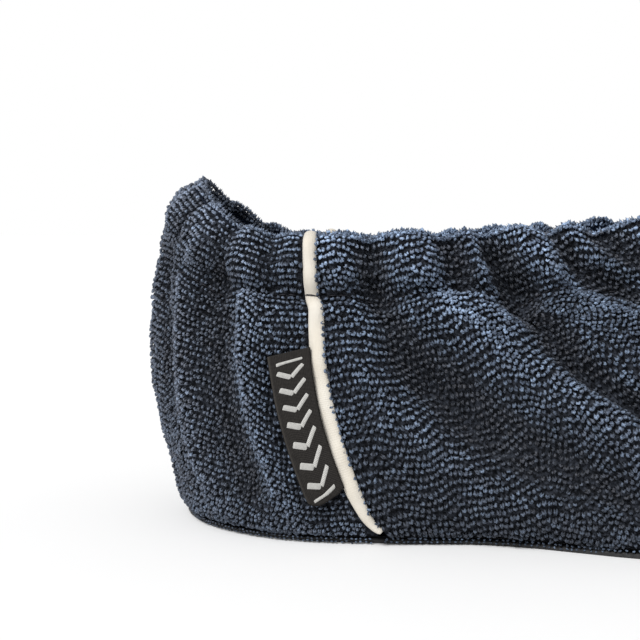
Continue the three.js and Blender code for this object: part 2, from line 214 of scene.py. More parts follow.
CASING_FOLDS = (
    Fold(0.62, 4, 1, 11, 7),
    Fold(0.98, 2.2, -1.4, 11, 7),
    Fold(((7, 1.44), (10, 1.34)), 3.5, 1.6, 11, 7),
    Fold(((7, 1.87), (10, 1.78)), 2.4, -2, 11, 7),
    Fold(((7, 2.27), (10, 2.1)), 3.5, 1.8, 11, 7),
    Fold(((7, 2.57), (10, 2.42)), 2.4, -1.4, 10, 7),
    Fold(2.72, 3, 1, 11, 7),
    Fold(3.4, 4.5, 1.6, 11, 7),
    Fold(3.9, 2, -1.2, 11, 6.8),
    Fold(((7, 4.35), (10, 4.25)), 6, 1.6, 11, 7),
    Fold(((7, 4.62), (10, 4.53)), 2.8, 1.8, 11, 7, -0.3),
    Fold(((7.2, 4.9), (10, 4.76)), 3.8, -3.6, 9.6, 7.2),
    Fold(((8, 5.12), (10, 5)), 2.4, 2.4, 11, 7),
    Fold(((7, 5.35), (10, 5.2)), 2.6, -1.4, 10, 7),
    Fold(((7, 5.92), (8.2, 5.7), (10, 5.5)), 4.8, 2.8, 11, 6.8),
    Fold(((7, 6.05), (10, 5.9)), 2.8, -3.4, 10.4, 7),
    Fold(((7, 6.46), (8.9, 6.15), (10, 6.06)), 3.8, 2.8, 11, 7),
    Fold(((7, 6.75), (8.8, 6.5), (10, 6.36)), 3.4, -3.2, 10.4, 7),
    Fold(((7, 7.14), (10, 6.8)), 4, 2.4, 11, 7, -0.2),
    Fold(((7, 7.4), (10, 7.12)), 3.6, -2.4, 10.2, 7),
    Fold(((7, 7.74), (10, 7.5)), 4, 2, 11, 7, -0.2),
    Fold(8.1, 3.6, -1.8, 10.2, 7),
    Fold(8.5, 4.5, 1.5, 11, 7),
    Fold(9, 3.6, -1.5, 10.2, 7),
    Fold(9.5, 4.5, 1.4, 11, 7),
)


def smoothstep(value: Array, low: Array | float, high: Array | float) -> Array:
    """A smooth ramp from 0 at low to 1 at high."""
    share = np.clip((value - low) / (high - low), 0, 1)
    return share * share * (3 - 2 * share)


def unit(vectors: Array) -> Array:
    """The vectors at length 1."""
    return vectors / np.maximum(np.linalg.norm(vectors, axis=-1, keepdims=True), 1e-12)


def rounded(share: Array) -> Array:
    """The height of a quarter circle: 0 at 0, and 1 from 1 on."""
    return np.sqrt(1 - (1 - np.clip(share, 0, 1)) ** 2)


def travelled(line: Array) -> Array:
    """How far along a line each of its points is."""
    return np.concatenate([[0], np.cumsum(np.linalg.norm(np.diff(line, axis=0), axis=-1))])


def strewn(
    line: Array,
    marks: Array,
    ends: tuple[float, float],
    pitch: float,
    stray: float,
    draw: np.random.Generator,
    shift: float = 0.0,
) -> Array:
    """Marks at even steps along a line, each moved a little.

    Args:
        line: its points.
        marks: the place or the level of each point.
        ends: how much of the line is left free at its start and at its end, in metres.
        pitch: from one step to the next.
        stray: how far the steps are moved, as a standard deviation.
        draw: gives the moves.
        shift: how far on all the steps are.

    Returns:
        The place or the level of each step.
    """
    along = travelled(line)
    stops = np.arange(ends[0], along[-1] - ends[1], pitch) + shift
    return np.interp(stops + draw.normal(0, stray, len(stops)), along, marks)


def spline(before: Array, start: Array, end: Array, after: Array, share: Array) -> Array:
    """A centripetal Catmull-Rom curve from start to end.

    Args:
        before, start, end, after: four neighbouring points, in arrays.
        share: how far along from start to end, from 0 to 1.

    Returns:
        The points on the curve.
    """
    neighbours = ((before, start), (start, end), (end, after))
    gaps = (np.linalg.norm(b - a, axis=-1, keepdims=True) for a, b in neighbours)
    g0, g1, g2 = (np.sqrt(np.maximum(gap, 1e-9)) for gap in gaps)
    leave = ((start - before) / g0 - (end - before) / (g0 + g1) + (end - start) / g1) * g1
    reach = ((end - start) / g1 - (after - start) / (g1 + g2) + (after - end) / g2) * g1
    s2, s3 = share**2, share**3
    leaving = start * (2 * s3 - 3 * s2 + 1) + leave * (s3 - 2 * s2 + share)
    return leaving + end * (3 * s2 - 2 * s3) + reach * (s3 - s2)


class Ripple:
    """Smooth variation over space, the same each time: a sum of sine waves of about one wavelength."""

    LENGTHS = (0.7, 1.6)  # of the waves, as shares of the wavelength

    def __init__(self, seed: int, wavelength: float, waves: int = 28) -> None:
        """Draws the waves.

        Args:
            seed: picks the pattern.
            wavelength: middle of the waves' lengths, in metres.
            waves: how many there are.
        """
        draw = np.random.default_rng(seed)
        lengths = wavelength * draw.uniform(*self.LENGTHS, (waves, 1))
        self.vectors = unit(draw.normal(size=(waves, 3))) * TAU / lengths
        self.phases = draw.uniform(0, TAU, waves)

    def __call__(self, points: Array) -> Array:
        """The variation at points: mostly from -1 to 1, and 0 on average."""
        return np.sin(points @ self.vectors.T + self.phases).sum(-1) * math.sqrt(1 / len(self.phases))


@dataclass
class Skin:
    """The cover's outer surface, with its folds. Places and levels go in, metres come out."""

    outlines: tuple[Outline, ...] = OUTLINES
    stations: tuple[Station, ...] = STATIONS
    folds: tuple[Fold, ...] = BODY_FOLDS + CASING_FOLDS
    fold_sag: float = 0.5  # how far a row dips for each millimetre of a fold's depth
    crumple: tuple[float, float] = (0.25 * MM, 0.55 * MM)  # small unevenness of the body and of the casing
    crumple_length: float = 8 * MM
    crumple_seed: int = 3
    crumple_foot: tuple[float, float] = (0, 1.5)  # levels from none of it to all
    crumple_casing: tuple[float, float] = (6.5, 8)  # levels from the body's to the casing's
    rim: tuple[float, float] = (8, 9.6)  # levels between which folds come to raise the rim
    rim_raise: float = 1.6  # how far upright that turns the way they sag
    step: float = 0.02  # in places and levels, to find a direction
    facing_level: float = 8.0  # level above which the casing keeps one facing
    net: Array = field(init=False)
    walls: Array = field(init=False)
    all_folds: tuple[Fold, ...] = field(init=False)
    unevenness: Ripple = field(init=False)

    def __post_init__(self) -> None:
        """Lays out the net of points that the skin passes through."""
        rows = []
        for o in self.outlines:
            right = [
                (
                    o.back + (o.seam - o.back) * s.rear + (o.front - o.seam) * s.fore,
                    -(o.heel * s.heel + o.arch * s.arch + o.waist * s.waist + o.ball * s.ball),
                    o.side_z + (o.back_z - o.side_z) * s.back + (o.front_z - o.side_z) * s.front,
                )
                for s in self.stations
            ]
            rows.append(right + [(x, -y, z) for x, y, z in right[-2:0:-1]])
        self.net = np.array(rows) * MM
        self.all_folds = self.folds + tuple(f.on_the_left() for f in self.folds)
        self.walls = np.array([o.wall for o in self.outlines]) * MM
        self.unevenness = Ripple(self.crumple_seed, self.crumple_length)

    def smooth(self, place: Array, level: Array) -> Array:
        """The skin without its folds."""
        place, level = (np.asarray(v, float).ravel() for v in np.broadcast_arrays(place, level))
        start = np.floor(place).astype(int)
        share = (place - start)[None, :, None]
        rib = spline(*(self.net[:, (start + k) % LOOP] for k in (-1, 0, 1, 2)), share)
        rib = np.concatenate([2 * rib[:1] - rib[1:2], rib, 2 * rib[-1:] - rib[-2:-1]])
        below = np.clip(np.floor(level).astype(int), 0, TOP - 1)
        each = np.arange(len(place))
        return spline(*(rib[below + k, each] for k in range(4)), (level - below)[:, None])

    def bearings(self, place: Array, level: Array) -> tuple[Array, Array, Array]:
        """The smooth skin's directions.

        Returns:
            The direction up the skin, the direction outwards, and the pace in metres for each place.
        """
        level = np.clip(level, self.step, TOP - self.step)
        onward = self.smooth(place + self.step, level) - self.smooth(place - self.step, level)
        up = unit(self.smooth(place, level + self.step) - self.smooth(place, level - self.step))
        pace = np.linalg.norm(onward, axis=-1) / (2 * self.step)
        return up, unit(np.cross(onward, up)), pace

    def relief(self, place: Array, level: Array, pace: Array) -> Array:
        """How far the folds lift the skin, in metres."""
        height = np.zeros_like(pace)
        for f in self.all_folds:
            ahead = place - f.middle(level)
            distance = (ahead - LOOP * np.round(ahead / LOOP)) * pace / MM / f.width
            distance = distance / (1 + f.lean * np.tanh(2 * distance))
            height += f.rise * MM * f.presence(level) * np.exp(-(distance**2))
        return height

    def wall(self, level: Array) -> Array:
        """The thickness of the cover."""
        return np.interp(level, np.arange(TOP + 1), self.walls)

    def point(self, place: Array, level: Array, depth: Array | float = 0.0) -> Array:
        """The folded skin, or a point that far inside it."""
        place, level = (np.asarray(v, float).ravel() for v in np.broadcast_arrays(place, level))
        up, _, pace = self.bearings(place, level)
        _, out, _ = self.bearings(place, np.minimum(level, self.facing_level))
        height = self.relief(place, level, pace)
        depth = np.broadcast_to(depth, height.shape)
        base = self.smooth(place, level)
        body, casing = self.crumple
        rough = body + (casing - body) * smoothstep(level, *self.crumple_casing)
        rough = rough * smoothstep(level, *self.crumple_foot) * self.unevenness(base)
        lengthwise = unit(up + (self.rim_raise * smoothstep(level, *self.rim))[:, None] * (0, 0, 1))
        return base + out * (height + rough - depth)[:, None] + lengthwise * (self.fold_sag * height)[:, None]

    def directions(
        self, place: Array, level: Array, depth: Array | float = 0.0
    ) -> tuple[Array, Array, Array]:
        """The folded skin's directions: round the cover, up it, and outwards."""
        step = self.step
        level = np.clip(level, step, TOP - step)
        onward = unit(self.point(place + step, level, depth) - self.point(place - step, level, depth))
        up = self.point(place, level + step, depth) - self.point(place, level - step, depth)
        out = unit(np.cross(onward, up))
        return onward, np.cross(out, onward), out

    def places_in(self, metres: Array | float, seam: float, level: Array) -> Array:
        """How many places a short way round the cover is, at a seam."""
        level = np.asarray(level, float)
        _, _, pace = self.bearings(np.full_like(level, seam), level)
        return metres / pace


class Value:
    """A number in a material's expressions."""

    def __init__(self, net: "ShaderNet", socket: bpy.types.NodeSocket) -> None:
        """Wraps a node's output."""
        self.net, self.socket = net, socket

    def _math(self, operation: str, a: "Value | float", b: "Value | float") -> "Value":
        """A Math node on two numbers."""
        return self.net.node("ShaderNodeMath", {"operation": operation}, {0: a, 1: b})

    def __add__(self, other: "Value | float") -> "Value":
        """self + other."""
        return self._math("ADD", self, other)

    def __sub__(self, other: "Value | float") -> "Value":
        """self - other."""
        return self._math("SUBTRACT", self, other)

    def __rsub__(self, other: float) -> "Value":
        """other - self."""
        return self._math("SUBTRACT", other, self)

    def __mul__(self, other: "Value | float") -> "Value":
        """self * other."""
        return self._math("MULTIPLY", self, other)

    def __pow__(self, other: float) -> "Value":
        """self to the power of other."""
        return self._math("POWER", self, other)

    def wave(self) -> "Value":
        """A wave from 0 to 1 that repeats each time the number goes up by one."""
        return self._math("SINE", self * TAU, 0.0) * 0.5 + 0.5

    def limited(self) -> "Value":
        """The number held between 0 and 1."""
        return self.net.node("ShaderNodeClamp", {}, {0: self})


class ShaderNet:
    """The node tree of one new material."""

    def __init__(self, name: str) -> None:
        """Makes an empty material."""
        self.material = bpy.data.materials.new(name)
        self.material.use_nodes = True
        self.tree = self.material.node_tree
        self.tree.nodes.clear()

    def node(self, kind: str, settings: dict, inputs: dict, output: int | str = 0) -> Value:
        """Adds a node.

        Args:
            kind: its type.
            settings: its properties, set first.
            inputs: a number, colour or Value for each socket that is named or counted.
            output: the socket that the result stands for.

        Returns:
            The node's output.
        """
        made = self.tree.nodes.new(kind)
        for key, setting in settings.items():
            setattr(made, key, setting)
        for key, value in inputs.items():
            socket = made.inputs[key]
            if isinstance(value, Value):
                self.tree.links.new(value.socket, socket)
            else:
                socket.default_value = value
        return Value(self, made.outputs[output])

    def attribute(self, name: str) -> Value:
        """A number that is stored on the mesh."""
        return self.node("ShaderNodeAttribute", {"attribute_name": name}, {}, "Fac")

    def noise(self, scale: float, detail: float = 2.0) -> Value:
        """Noise with so many cells to the metre."""
        inputs = {"Vector": self.object_coordinates(), "Scale": scale, "Detail": detail}
        return self.node("ShaderNodeTexNoise", {}, inputs, "Fac")

    def object_coordinates(self) -> Value:
        """The piece's own coordinates."""
        return self.node("ShaderNodeTexCoord", {}, {}, "Object")

    def blend(self, share: Value | float, first: tuple | Value, second: tuple | Value) -> Value:
        """A colour between two others."""
        settings = {"data_type": "RGBA"}
        return self.node("ShaderNodeMix", settings, {0: share, 6: first, 7: second}, 2)

    def dim(self, colour: tuple | Value, share: Value) -> Value:
        """A colour times a number."""
        settings = {"data_type": "RGBA", "blend_type": "MULTIPLY"}
        return self.node("ShaderNodeMix", settings, {0: 1.0, 6: colour, 7: self.grey(share)}, 2)

    def grey(self, share: Value) -> Value:
        """A number as a grey."""
        return self.node("ShaderNodeCombineColor", {}, {0: share, 1: share, 2: share})

    def bump(self, height: Value, distance: float) -> Value:
        """A normal from heights, where a height of 1 is that many metres."""
        return self.node("ShaderNodeBump", {}, {"Height": height, "Distance": distance, "Strength": 1.0})

    def surface(self, inputs: dict) -> bpy.types.Material:
        """Ends the tree in one Principled shader with these inputs."""
        shader = self.node("ShaderNodeBsdfPrincipled", {}, inputs)
        target = self.tree.nodes.new("ShaderNodeOutputMaterial")
        self.tree.links.new(shader.socket, target.inputs["Surface"])
        return self.material


@dataclass(frozen=True)
class PileFinish:
    """Navy terry loops: painted shade at their roots, each a little lighter or bluer than the next."""

    deep: tuple = (0.066, 0.086, 0.125, 1)
    light: tuple = (0.222, 0.296, 0.418, 1)
    # painted shade: the grey of loops deep in folds, at the foot and at the back of the heel
    dusky: tuple = (0.110, 0.116, 0.138, 1)
    # painted shade at the loops' roots, deep in the pile
    root: tuple = (0.014, 0.016, 0.020, 1)
    fibres_per_metre: float = 2000.0
    fibre_height: float = 0.00022
    root_fade: float = 0.65  # power of the height on a loop for its painted root shade; lower lights the roots sooner

    def material(self) -> bpy.types.Material:
        """Builds the material."""
        net = ShaderNet("terry_loops")
        shade, height = net.attribute("shade"), net.attribute("height")
        fibres = net.noise(self.fibres_per_metre)
        colour = net.blend(shade, self.deep, self.light)
        # painted shade: greyer deep in folds, at the foot and at the back of the heel
        colour = net.blend(net.attribute("dusk"), colour, self.dusky)
        speckle = (fibres * 5.0 - 1.9).limited() + 0.35
        # painted light and shade: lighter on fold crests and the casing's top, darker in valleys and at the
        # foot
        colour = net.dim(colour, speckle * net.attribute("lift"))
        return net.surface({
            # painted shade: the loops darken to near black towards their roots
            "Base Color": net.blend(height**self.root_fade, self.root, colour),
            "Roughness": 0.78,
            "Specular IOR Level": 0.2,
            "Sheen Weight": 0.04,
            "Sheen Roughness": 0.5,
            "Normal": net.bump(fibres, self.fibre_height),
        })


@dataclass(frozen=True)
class BackingFinish:
    """The knit's ground: painted near black under the loops, as shade deep in the pile, and a plain rib on
    its reverse.
    """

    # painted shade deep in the pile, far darker than the yarn's navy on the reverse
    ground: tuple = (0.008, 0.0088, 0.011, 1)
    strand: tuple = (0.042, 0.048, 0.062, 1)
    reverse: tuple = (0.026, 0.037, 0.068, 1)
    rib_height: float = 0.00025

    def material(self) -> bpy.types.Material:
        """Builds the material."""
        net = ShaderNet("knit_ground")
        inside = net.attribute("inside")
        course, wale = net.attribute("course"), net.attribute("wale")
        grain = net.noise(900.0, 3.0)
        rib = (course * 2.0 + wale.wave() * 0.35).wave() * (wale.wave() * 0.5 + 0.5)
        tangle = (net.noise(1100.0, 3.0) * 4.0 - 1.7).limited()
        outside = net.blend(tangle, self.ground, self.strand)
        colour = net.blend(inside, outside, net.dim(self.reverse, rib * 0.55 + grain * 0.7 + 0.3))
        return net.surface({
            "Base Color": colour,
            "Roughness": 0.95,
            "Specular IOR Level": 0.05,
            "Normal": net.bump(rib + grain * 0.4, self.rib_height),
        })


@dataclass(frozen=True)
class TapeFinish:
    """Off-white woven tape round the piping cord."""

    pale: tuple = (0.78, 0.74, 0.665, 1)
    wear_and_crest_light: tuple = (0.67, 0.61, 0.51, 1)

    def material(self) -> bpy.types.Material:
        """Builds the material."""
        net = ShaderNet("piping_tape")
        cloud = net.noise(140.0, 3.0)
        along, across = net.attribute("along"), net.attribute("across")
        weave = along.wave() * 0.5 + across.wave() * 0.5
        colour = net.blend((cloud * 1.6 - 0.3).limited(), self.pale, self.wear_and_crest_light)
        return net.surface({
            "Base Color": net.dim(colour, weave * 0.05 + 0.95),
            "Roughness": 0.7,
            "Specular IOR Level": 0.3,
            "Sheen Weight": 0.1,
            "Normal": net.bump(weave + net.noise(1500.0), 0.00005),
        })


@dataclass(frozen=True)
class TwillFinish:
    """Black woven label tape with fine ribs along its length."""

    black: tuple = (0.010, 0.009, 0.0085, 1)
    lit: tuple = (0.055, 0.050, 0.045, 1)

    def material(self) -> bpy.types.Material:
        """Builds the material."""
        net = ShaderNet("label_twill")
        along, across = net.attribute("along"), net.attribute("across")
        rib = (along + across * 0.5).wave()
        thread = across.wave()
        grain = net.noise(1800.0)
        # the fold's rounded edge is painted lighter: a painted highlight along the fold
        lit = rib * 0.45 + thread * 0.2 + grain * 0.5 - 0.3 + net.attribute("fold") * 1.6
        colour = net.blend(lit.limited(), self.black, self.lit)
        return net.surface({
            "Base Color": colour,
            "Roughness": 0.7,
            "Specular IOR Level": 0.12,
            "Normal": net.bump(rib + thread, 0.00004),
        })


@dataclass(frozen=True)
class ThreadFinish:
    """Sewing or weaving thread of one colour. Threads that lie side by side are counted in an attribute."""

    name: str
    colour: tuple
    gap: float = 0.0  # how much darker it is between threads, as a share

    def material(self) -> bpy.types.Material:
        """Builds the material."""
        net = ShaderNet(self.name)
        ply = net.noise(2200.0, 2.0)
        thread = net.attribute("thread").wave()
        return net.surface({
            "Base Color": net.dim(self.colour, (ply * 0.4 + 0.8) * (thread * self.gap + (1 - self.gap))),
            "Roughness": 0.6,
            "Specular IOR Level": 0.3,
            "Normal": net.bump(ply + thread * 2.0, 0.00004),
        })


@dataclass(frozen=True)
class SoleFinish:
    """Black rubberised cloth with fine raised dots."""

    black: tuple = (0.010, 0.010, 0.011, 1)
    dusty: tuple = (0.026, 0.026, 0.027, 1)
    dots_per_metre: float = 420.0

    def material(self) -> bpy.types.Material:
        """Builds the material."""
        net = ShaderNet("grip_rubber")
        inputs = {"Vector": net.object_coordinates(), "Scale": self.dots_per_metre, "Randomness": 0.15}
        cells = net.node("ShaderNodeTexVoronoi", {"feature": "F1"}, inputs, "Distance")
        dots = (1.25 - cells * 2.2).limited()
        wear = net.noise(60.0, 4.0)
        colour = net.blend((dots * 0.5 + wear * 0.8 - 0.3).limited(), self.black, self.dusty)
        return net.surface({
            "Base Color": colour,
            "Roughness": wear * 0.2 + 0.55,
            "Normal": net.bump(dots + net.noise(2500.0) * 0.15, 0.0003),
        })


@dataclass(frozen=True)
class PaperFinish:
    """Plain white studio paper."""

    white: float = 0.92

    def material(self) -> bpy.types.Material:
        """Builds the material."""
        net = ShaderNet("studio_paper")
        grain = net.noise(30.0)
        return net.surface({
            "Base Color": net.grey(grain * 0.01 + self.white),
            "Roughness": 0.9,
            "Specular IOR Level": 0.1,
        })


def lattice(columns: int, rows: int, place: Callable[[Array, Array], Array]) -> bmesh.types.BMesh:
    """A grid whose points are moved onto a surface.

    Args:
        columns, rows: its faces across and up.
        place: gives the points for shares across and up, from 0 to 1.

    Returns:
        The grid, with a bake map, facing the way that across turned to up faces.
    """
    grid = bmesh.new()
    grid.loops.layers.uv.new(BAKE_UV)
    bmesh.ops.create_grid(grid, x_segments=columns, y_segments=rows, size=0.5, calc_uvs=True)
    flat = np.array([vert.co for vert in grid.verts])
    across, up = np.round(flat[:, :2].astype(float) + 0.5, 6).clip(0, 1).T
    for vert, point in zip(grid.verts, place(across, up)):
        vert.co = point
    return grid


def weld(shape: bmesh.types.BMesh) -> None:
    """Merges the points of a grid that lie on each other."""
    bmesh.ops.remove_doubles(shape, verts=shape.verts[:], dist=WELD)


def finished(
    name: str, shape: bmesh.types.BMesh, material: bpy.types.Material, replaces: str | None = None
) -> bpy.types.Object:
    """Turns a bmesh into a piece on the frame.

    Args:
        name: the piece's name.
        shape: its mesh, which is freed.
        material: its finish.
        replaces: the CAD node that it stands for.

    Returns:
        The piece.
    """
    mesh = bpy.data.meshes.new(name)
    shape.to_mesh(mesh)
    shape.free()
    return placed(name, mesh, material, replaces)


def placed(
    name: str, mesh: bpy.types.Mesh, material: bpy.types.Material, replaces: str | None = None
) -> bpy.types.Object:
    """Puts a mesh on the frame as a piece, as finished does."""
    mesh.materials.append(material)
    mesh.shade_smooth()
    piece = bpy.data.objects.new(name, mesh)
    bpy.context.scene.collection.objects.link(piece)
    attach(piece, BODY)
    if replaces:
        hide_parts(replaces)
    log.info("%s: %d faces", name, len(mesh.polygons))
    return piece


def map_of(mesh: bpy.types.Mesh) -> tuple[Array, Array]:
    """The bake map's two coordinates at each point of a mesh."""
    uvs = np.empty(len(mesh.loops) * 2, np.float32)
    mesh.uv_layers[BAKE_UV].data.foreach_get("uv", uvs)
    corners = np.empty(len(mesh.loops), np.int32)
    mesh.loops.foreach_get("vertex_index", corners)
    across, up = np.zeros((2, len(mesh.vertices)))
    across[corners], up[corners] = uvs[0::2], uvs[1::2]
    return across, up


def store(mesh: bpy.types.Mesh, **numbers: Array) -> None:
    """Stores numbers on a mesh's points, one attribute for each name."""
    for name, values in numbers.items():
        attribute = mesh.attributes.new(name, "FLOAT", "POINT")
        attribute.data.foreach_set("value", np.ascontiguousarray(values, dtype=np.float32))


@dataclass
class Copies:
    """Where a small shape is copied to.

    centres are points (n, 3). axes are the copies' X, Y and Z axes, scaled (n, 3, 3). numbers has an
    attribute's name and its number for every copy.
    """

    centres: Array
    axes: Array
    numbers: dict[str, Array] = field(default_factory=dict)

    @classmethod
    def joined(cls, parts: "list[Copies]") -> "Copies":
        """Several sets of copies as one."""
        return cls(
            np.concatenate([part.centres for part in parts]),
            np.concatenate([part.axes for part in parts]),
            {key: np.concatenate([part.numbers[key] for part in parts]) for key in parts[0].numbers},
        )

    def chosen(self, which: Array) -> "Copies":
        """Some of the copies."""
        return Copies(self.centres[which], self.axes[which], {k: v[which] for k, v in self.numbers.items()})


@dataclass
class YarnLoop:
    """One loop of the pile, copied many times: a bent tube of a few dozen faces, standing on its two feet.

    X goes across the loop and Y from its feet to its top. The sizes are in millimetres.
    """

    half_width: float = 0.44
    rise: float = 0.9
    yarn: float = 0.4  # radius
    bend: float = 102.0  # degrees from its top to each foot
    sides: int = 4
    rings: int = 4
    root: float = -0.4  # the height that counts as its root, where its top is 1; below it the pile's painted root shade is full
    margin: float = 0.08  # round each copy on the bake map, as a share of its square
    points: Array = field(init=False)
    corners: Array = field(init=False)
    uvs: Array = field(init=False)

    def __post_init__(self) -> None:
        """Makes the loop: a ball, pulled to a tube and bent."""
        shape = bmesh.new()
        shape.loops.layers.uv.new(BAKE_UV)
        bmesh.ops.create_uvsphere(
            shape, u_segments=self.sides, v_segments=self.rings, radius=1.0, calc_uvs=True
        )
        bmesh.ops.triangulate(shape, faces=shape.faces[:])
        shape.verts.index_update()
        layer = shape.loops.layers.uv[BAKE_UV]
        ball = np.array([vert.co for vert in shape.verts])
        self.corners = np.array([[vert.index for vert in face.verts] for face in shape.faces])
        self.uvs = np.array([[tuple(loop[layer].uv) for loop in face.loops] for face in shape.faces])
        shape.free()
        angle = np.arccos(np.clip(-ball[:, 2], -1, 1)) / math.pi * 2 - 1  # -1 to 1 along the tube
        turn = angle * math.radians(self.bend)
        ring = np.hypot(ball[:, 0], ball[:, 1])
        width = self.yarn * np.where(ring > 0.1, 1.0, 0.0) / np.maximum(ring, 0.1)
        outward, sideways = ball[:, 0] * width, ball[:, 1] * width
        self.points = np.stack([
            np.sin(turn) * (self.half_width + outward),
            np.cos(turn) * (self.rise + outward),
            sideways,
        ], axis=-1)

    def strew(self, name: str, copies: Copies) -> bpy.types.Mesh:
        """Copies the shape to many places as one mesh.

        Args:
            name: the mesh's name.
            copies: where they go.

        Returns:
            The mesh, with its bake map, the copies' numbers, and how high on a copy each point is.
        """
        count, per = len(copies.centres), len(self.points)
        points = copies.centres[:, None] + np.einsum("pk,nkc->npc", self.points, copies.axes)
        corners = self.corners[None] + (np.arange(count) * per)[:, None, None]
        mesh = bpy.data.meshes.new(name)
        faces = count * len(self.corners)
        mesh.vertices.add(count * per)
        mesh.vertices.foreach_set("co", points.astype(np.float32).ravel())
        mesh.loops.add(faces * 3)
        mesh.loops.foreach_set("vertex_index", corners.astype(np.int32).ravel())
        mesh.polygons.add(faces)
        mesh.polygons.foreach_set("loop_start", np.arange(0, faces * 3, 3, dtype=np.int32))
        cells = math.ceil(math.sqrt(count))
        corner = np.stack([np.arange(count) % cells, np.arange(count) // cells], -1)
        uvs = (corner[:, None, None] + self.margin + (1 - 2 * self.margin) * self.uvs[None]) / cells
        mesh.uv_layers.new(name=BAKE_UV)
        mesh.uv_layers[BAKE_UV].data.foreach_set("uv", uvs.astype(np.float32).ravel())
        mesh.update(calc_edges=True)
        mesh.validate()
        store(mesh, **{key: np.repeat(values, per) for key, values in copies.numbers.items()})
        # how high on a copy each point is, for the pile's painted shade at the roots
        height = np.tile(self.points[:, 1] / self.rise, count)
        store(mesh, height=((height - self.root) / (1 - self.root)).clip(0, 1))
        return mesh


@dataclass(frozen=True)
class Shading:
    """How light and how grey a panel's loops are: a tone that differs at random, under painted light and
    shade.

    Each zone is a pair: where something begins and where it is in full.
    """

    shade: float = 0.42  # middle of the loops' shades, from 0, deep, to 1, light
    patch_shade: float = 0.12  # how much it differs from patch to patch
    patch_length: float = 0.02  # metres
    loop_shade: float = 0.24  # how much it differs from loop to loop
    crest_light: float = 0.13  # painted light and shade: how much brighter loops are for each millimetre that a fold lifts them, darker in valleys
    casing_crest_light: float = 0.5  # how much more so on the casing, as a share
    casing_zone: tuple[float, float] = (6.6, 7.6)  # levels
    casing_lift: float = 0.5  # painted highlight: how much brighter loops are on top of the casing, as a share
    top_zone: tuple[float, float] = (7.6, 9.2)  # levels
    foot_lift: float = 0.76  # painted shade: how bright they are at the foot
    body_zone: tuple[float, float] = (0.5, 4.5)  # levels, from the foot to where they are in full light
    foot_dusk: float = 0.4  # painted shade: how grey they are at the foot
    foot_zone: tuple[float, float] = (5, 0.5)  # levels
    valley_dusk: float = 0.75  # painted shade: how grey they are deep in a fold
    valley_zone: tuple[float, float] = (-0.3, -2.8)  # millimetres that a fold lifts them
    heel_dusk: float = 0.6  # painted shade: how grey they are at the back of the heel
    heel_zone: tuple[float, float] = (-0.085, -0.14)  # metres of X
    loop_dusk: float = 0.1  # how much it differs from loop to loop
    lifts: tuple[float, float] = (0.4, 2.2)  # the least and the most

    def lift(self, level: Array, height: Array) -> Array:
        """How bright painted light and shade make loops at some levels, where folds lift them by some
        millimetres.
        """
        # painted highlights on fold crests and the casing's top, painted shade in valleys and towards the
        # foot
        wear_and_crest_light = self.crest_light * (1 + self.casing_crest_light * smoothstep(level, *self.casing_zone))
        foot = self.foot_lift + (1 - self.foot_lift) * smoothstep(level, *self.body_zone)
        return np.exp(wear_and_crest_light * height) * (foot + self.casing_lift * smoothstep(level, *self.top_zone))

    def dusk(self, level: Array, height: Array) -> Array:
        """How grey painted shade makes them there: deep in folds and towards the foot."""
        valley = self.valley_dusk * smoothstep(height, *self.valley_zone)
        return np.maximum(valley, self.foot_dusk * smoothstep(level, *self.foot_zone))

    def looks(
        self, centre: Array, seed: int, draw: np.random.Generator, lift: Array | float, dusk: Array | float
    ) -> dict[str, Array]:
        """The numbers that the loops' finish reads.

        Args:
            centre: where they are.
            seed: picks the patches.
            draw: gives their small differences.
            lift: how bright painted light and shade make them.
            dusk: how grey painted shade makes them.

        Returns:
            Each attribute's name and its number for every loop.
        """
        count = len(centre)
        shade = self.shade + self.patch_shade * Ripple(seed, self.patch_length)(centre)
        shade = shade + draw.normal(0, self.loop_shade, count)
        # painted shade: greyer at the back of the heel
        dusk = np.maximum(self.heel_dusk * smoothstep(centre[:, 0], *self.heel_zone), dusk)
        dusk = dusk + draw.normal(0, self.loop_dusk, count)
        return {
            "shade": np.clip(shade, 0, 1),
            "dusk": np.clip(dusk, 0, 1),
            "lift": np.clip(np.broadcast_to(lift, count), *self.lifts),
        }


@dataclass(frozen=True)
class Unrest:
    """How much the loops of a panel differ.

    Numbers down to size are standard deviations from loop to loop. The others vary smoothly over the panel.
    """

    stray: float = 0.14  # along their rows, as a share of the wale
    cross_stray: float = 0.8  # across their rows, as a share of stray, of a course rather than a wale
    twist: float = 0.45  # about themselves, in radians
    lean: float = 0.4  # radians
    tilt: float = 0.15  # radians
    depth: float = 0.07 * MM
    size: float = 0.1  # as a share, in each direction
    zone_lean: float = 0.45  # of the lean, as a share
    zone_length: float = 0.03  # metres
    patch_size: float = 0.05  # as a share
    patch_length: float = 0.012  # metres
    fold_size: float = 0.025  # for each millimetre that a fold lifts them, as a share
    fold_limits: tuple[float, float] = (-4, 3)  # millimetres that count for it
    row_wave: float = 0.28  # how far rows wander up and down, in rows
    row_wave_length: float = 0.022  # metres
    row_shiver: float = 0.12  # the same over short lengths
    row_shiver_length: float = 0.006  # metres


@dataclass(frozen=True)
class EdgeRow:
    """A row of loops along an edge of a panel. Distances are in millimetres and angles in radians."""

    samples: int  # points of the line that it follows
    pitch: float  # from loop to loop, as a share of the panel's
    wander: float  # across the row
    sunk: float  # from the skin in to the loops' middles
    tilt: float  # how far the loops lie over
    tilt_stray: float
    size: float  # as a share
    stray: float | None = None  # along the row, as a share of the panel's pitch; None is as in the pile


FOOT_ROW = EdgeRow(samples=700, pitch=1, wander=0.08, sunk=0.8, tilt=0.25, tilt_stray=0.15, size=0.6)
RIM_ROW = EdgeRow(500, pitch=0.5, wander=0.35, sunk=1.35, tilt=1.3, tilt_stray=0.1, size=1.1, stray=0.1)
SEAM_ROW = EdgeRow(600, pitch=0.86, wander=0.18, sunk=0.25, tilt=0.8, tilt_stray=0.2, size=0.9, stray=0.12)


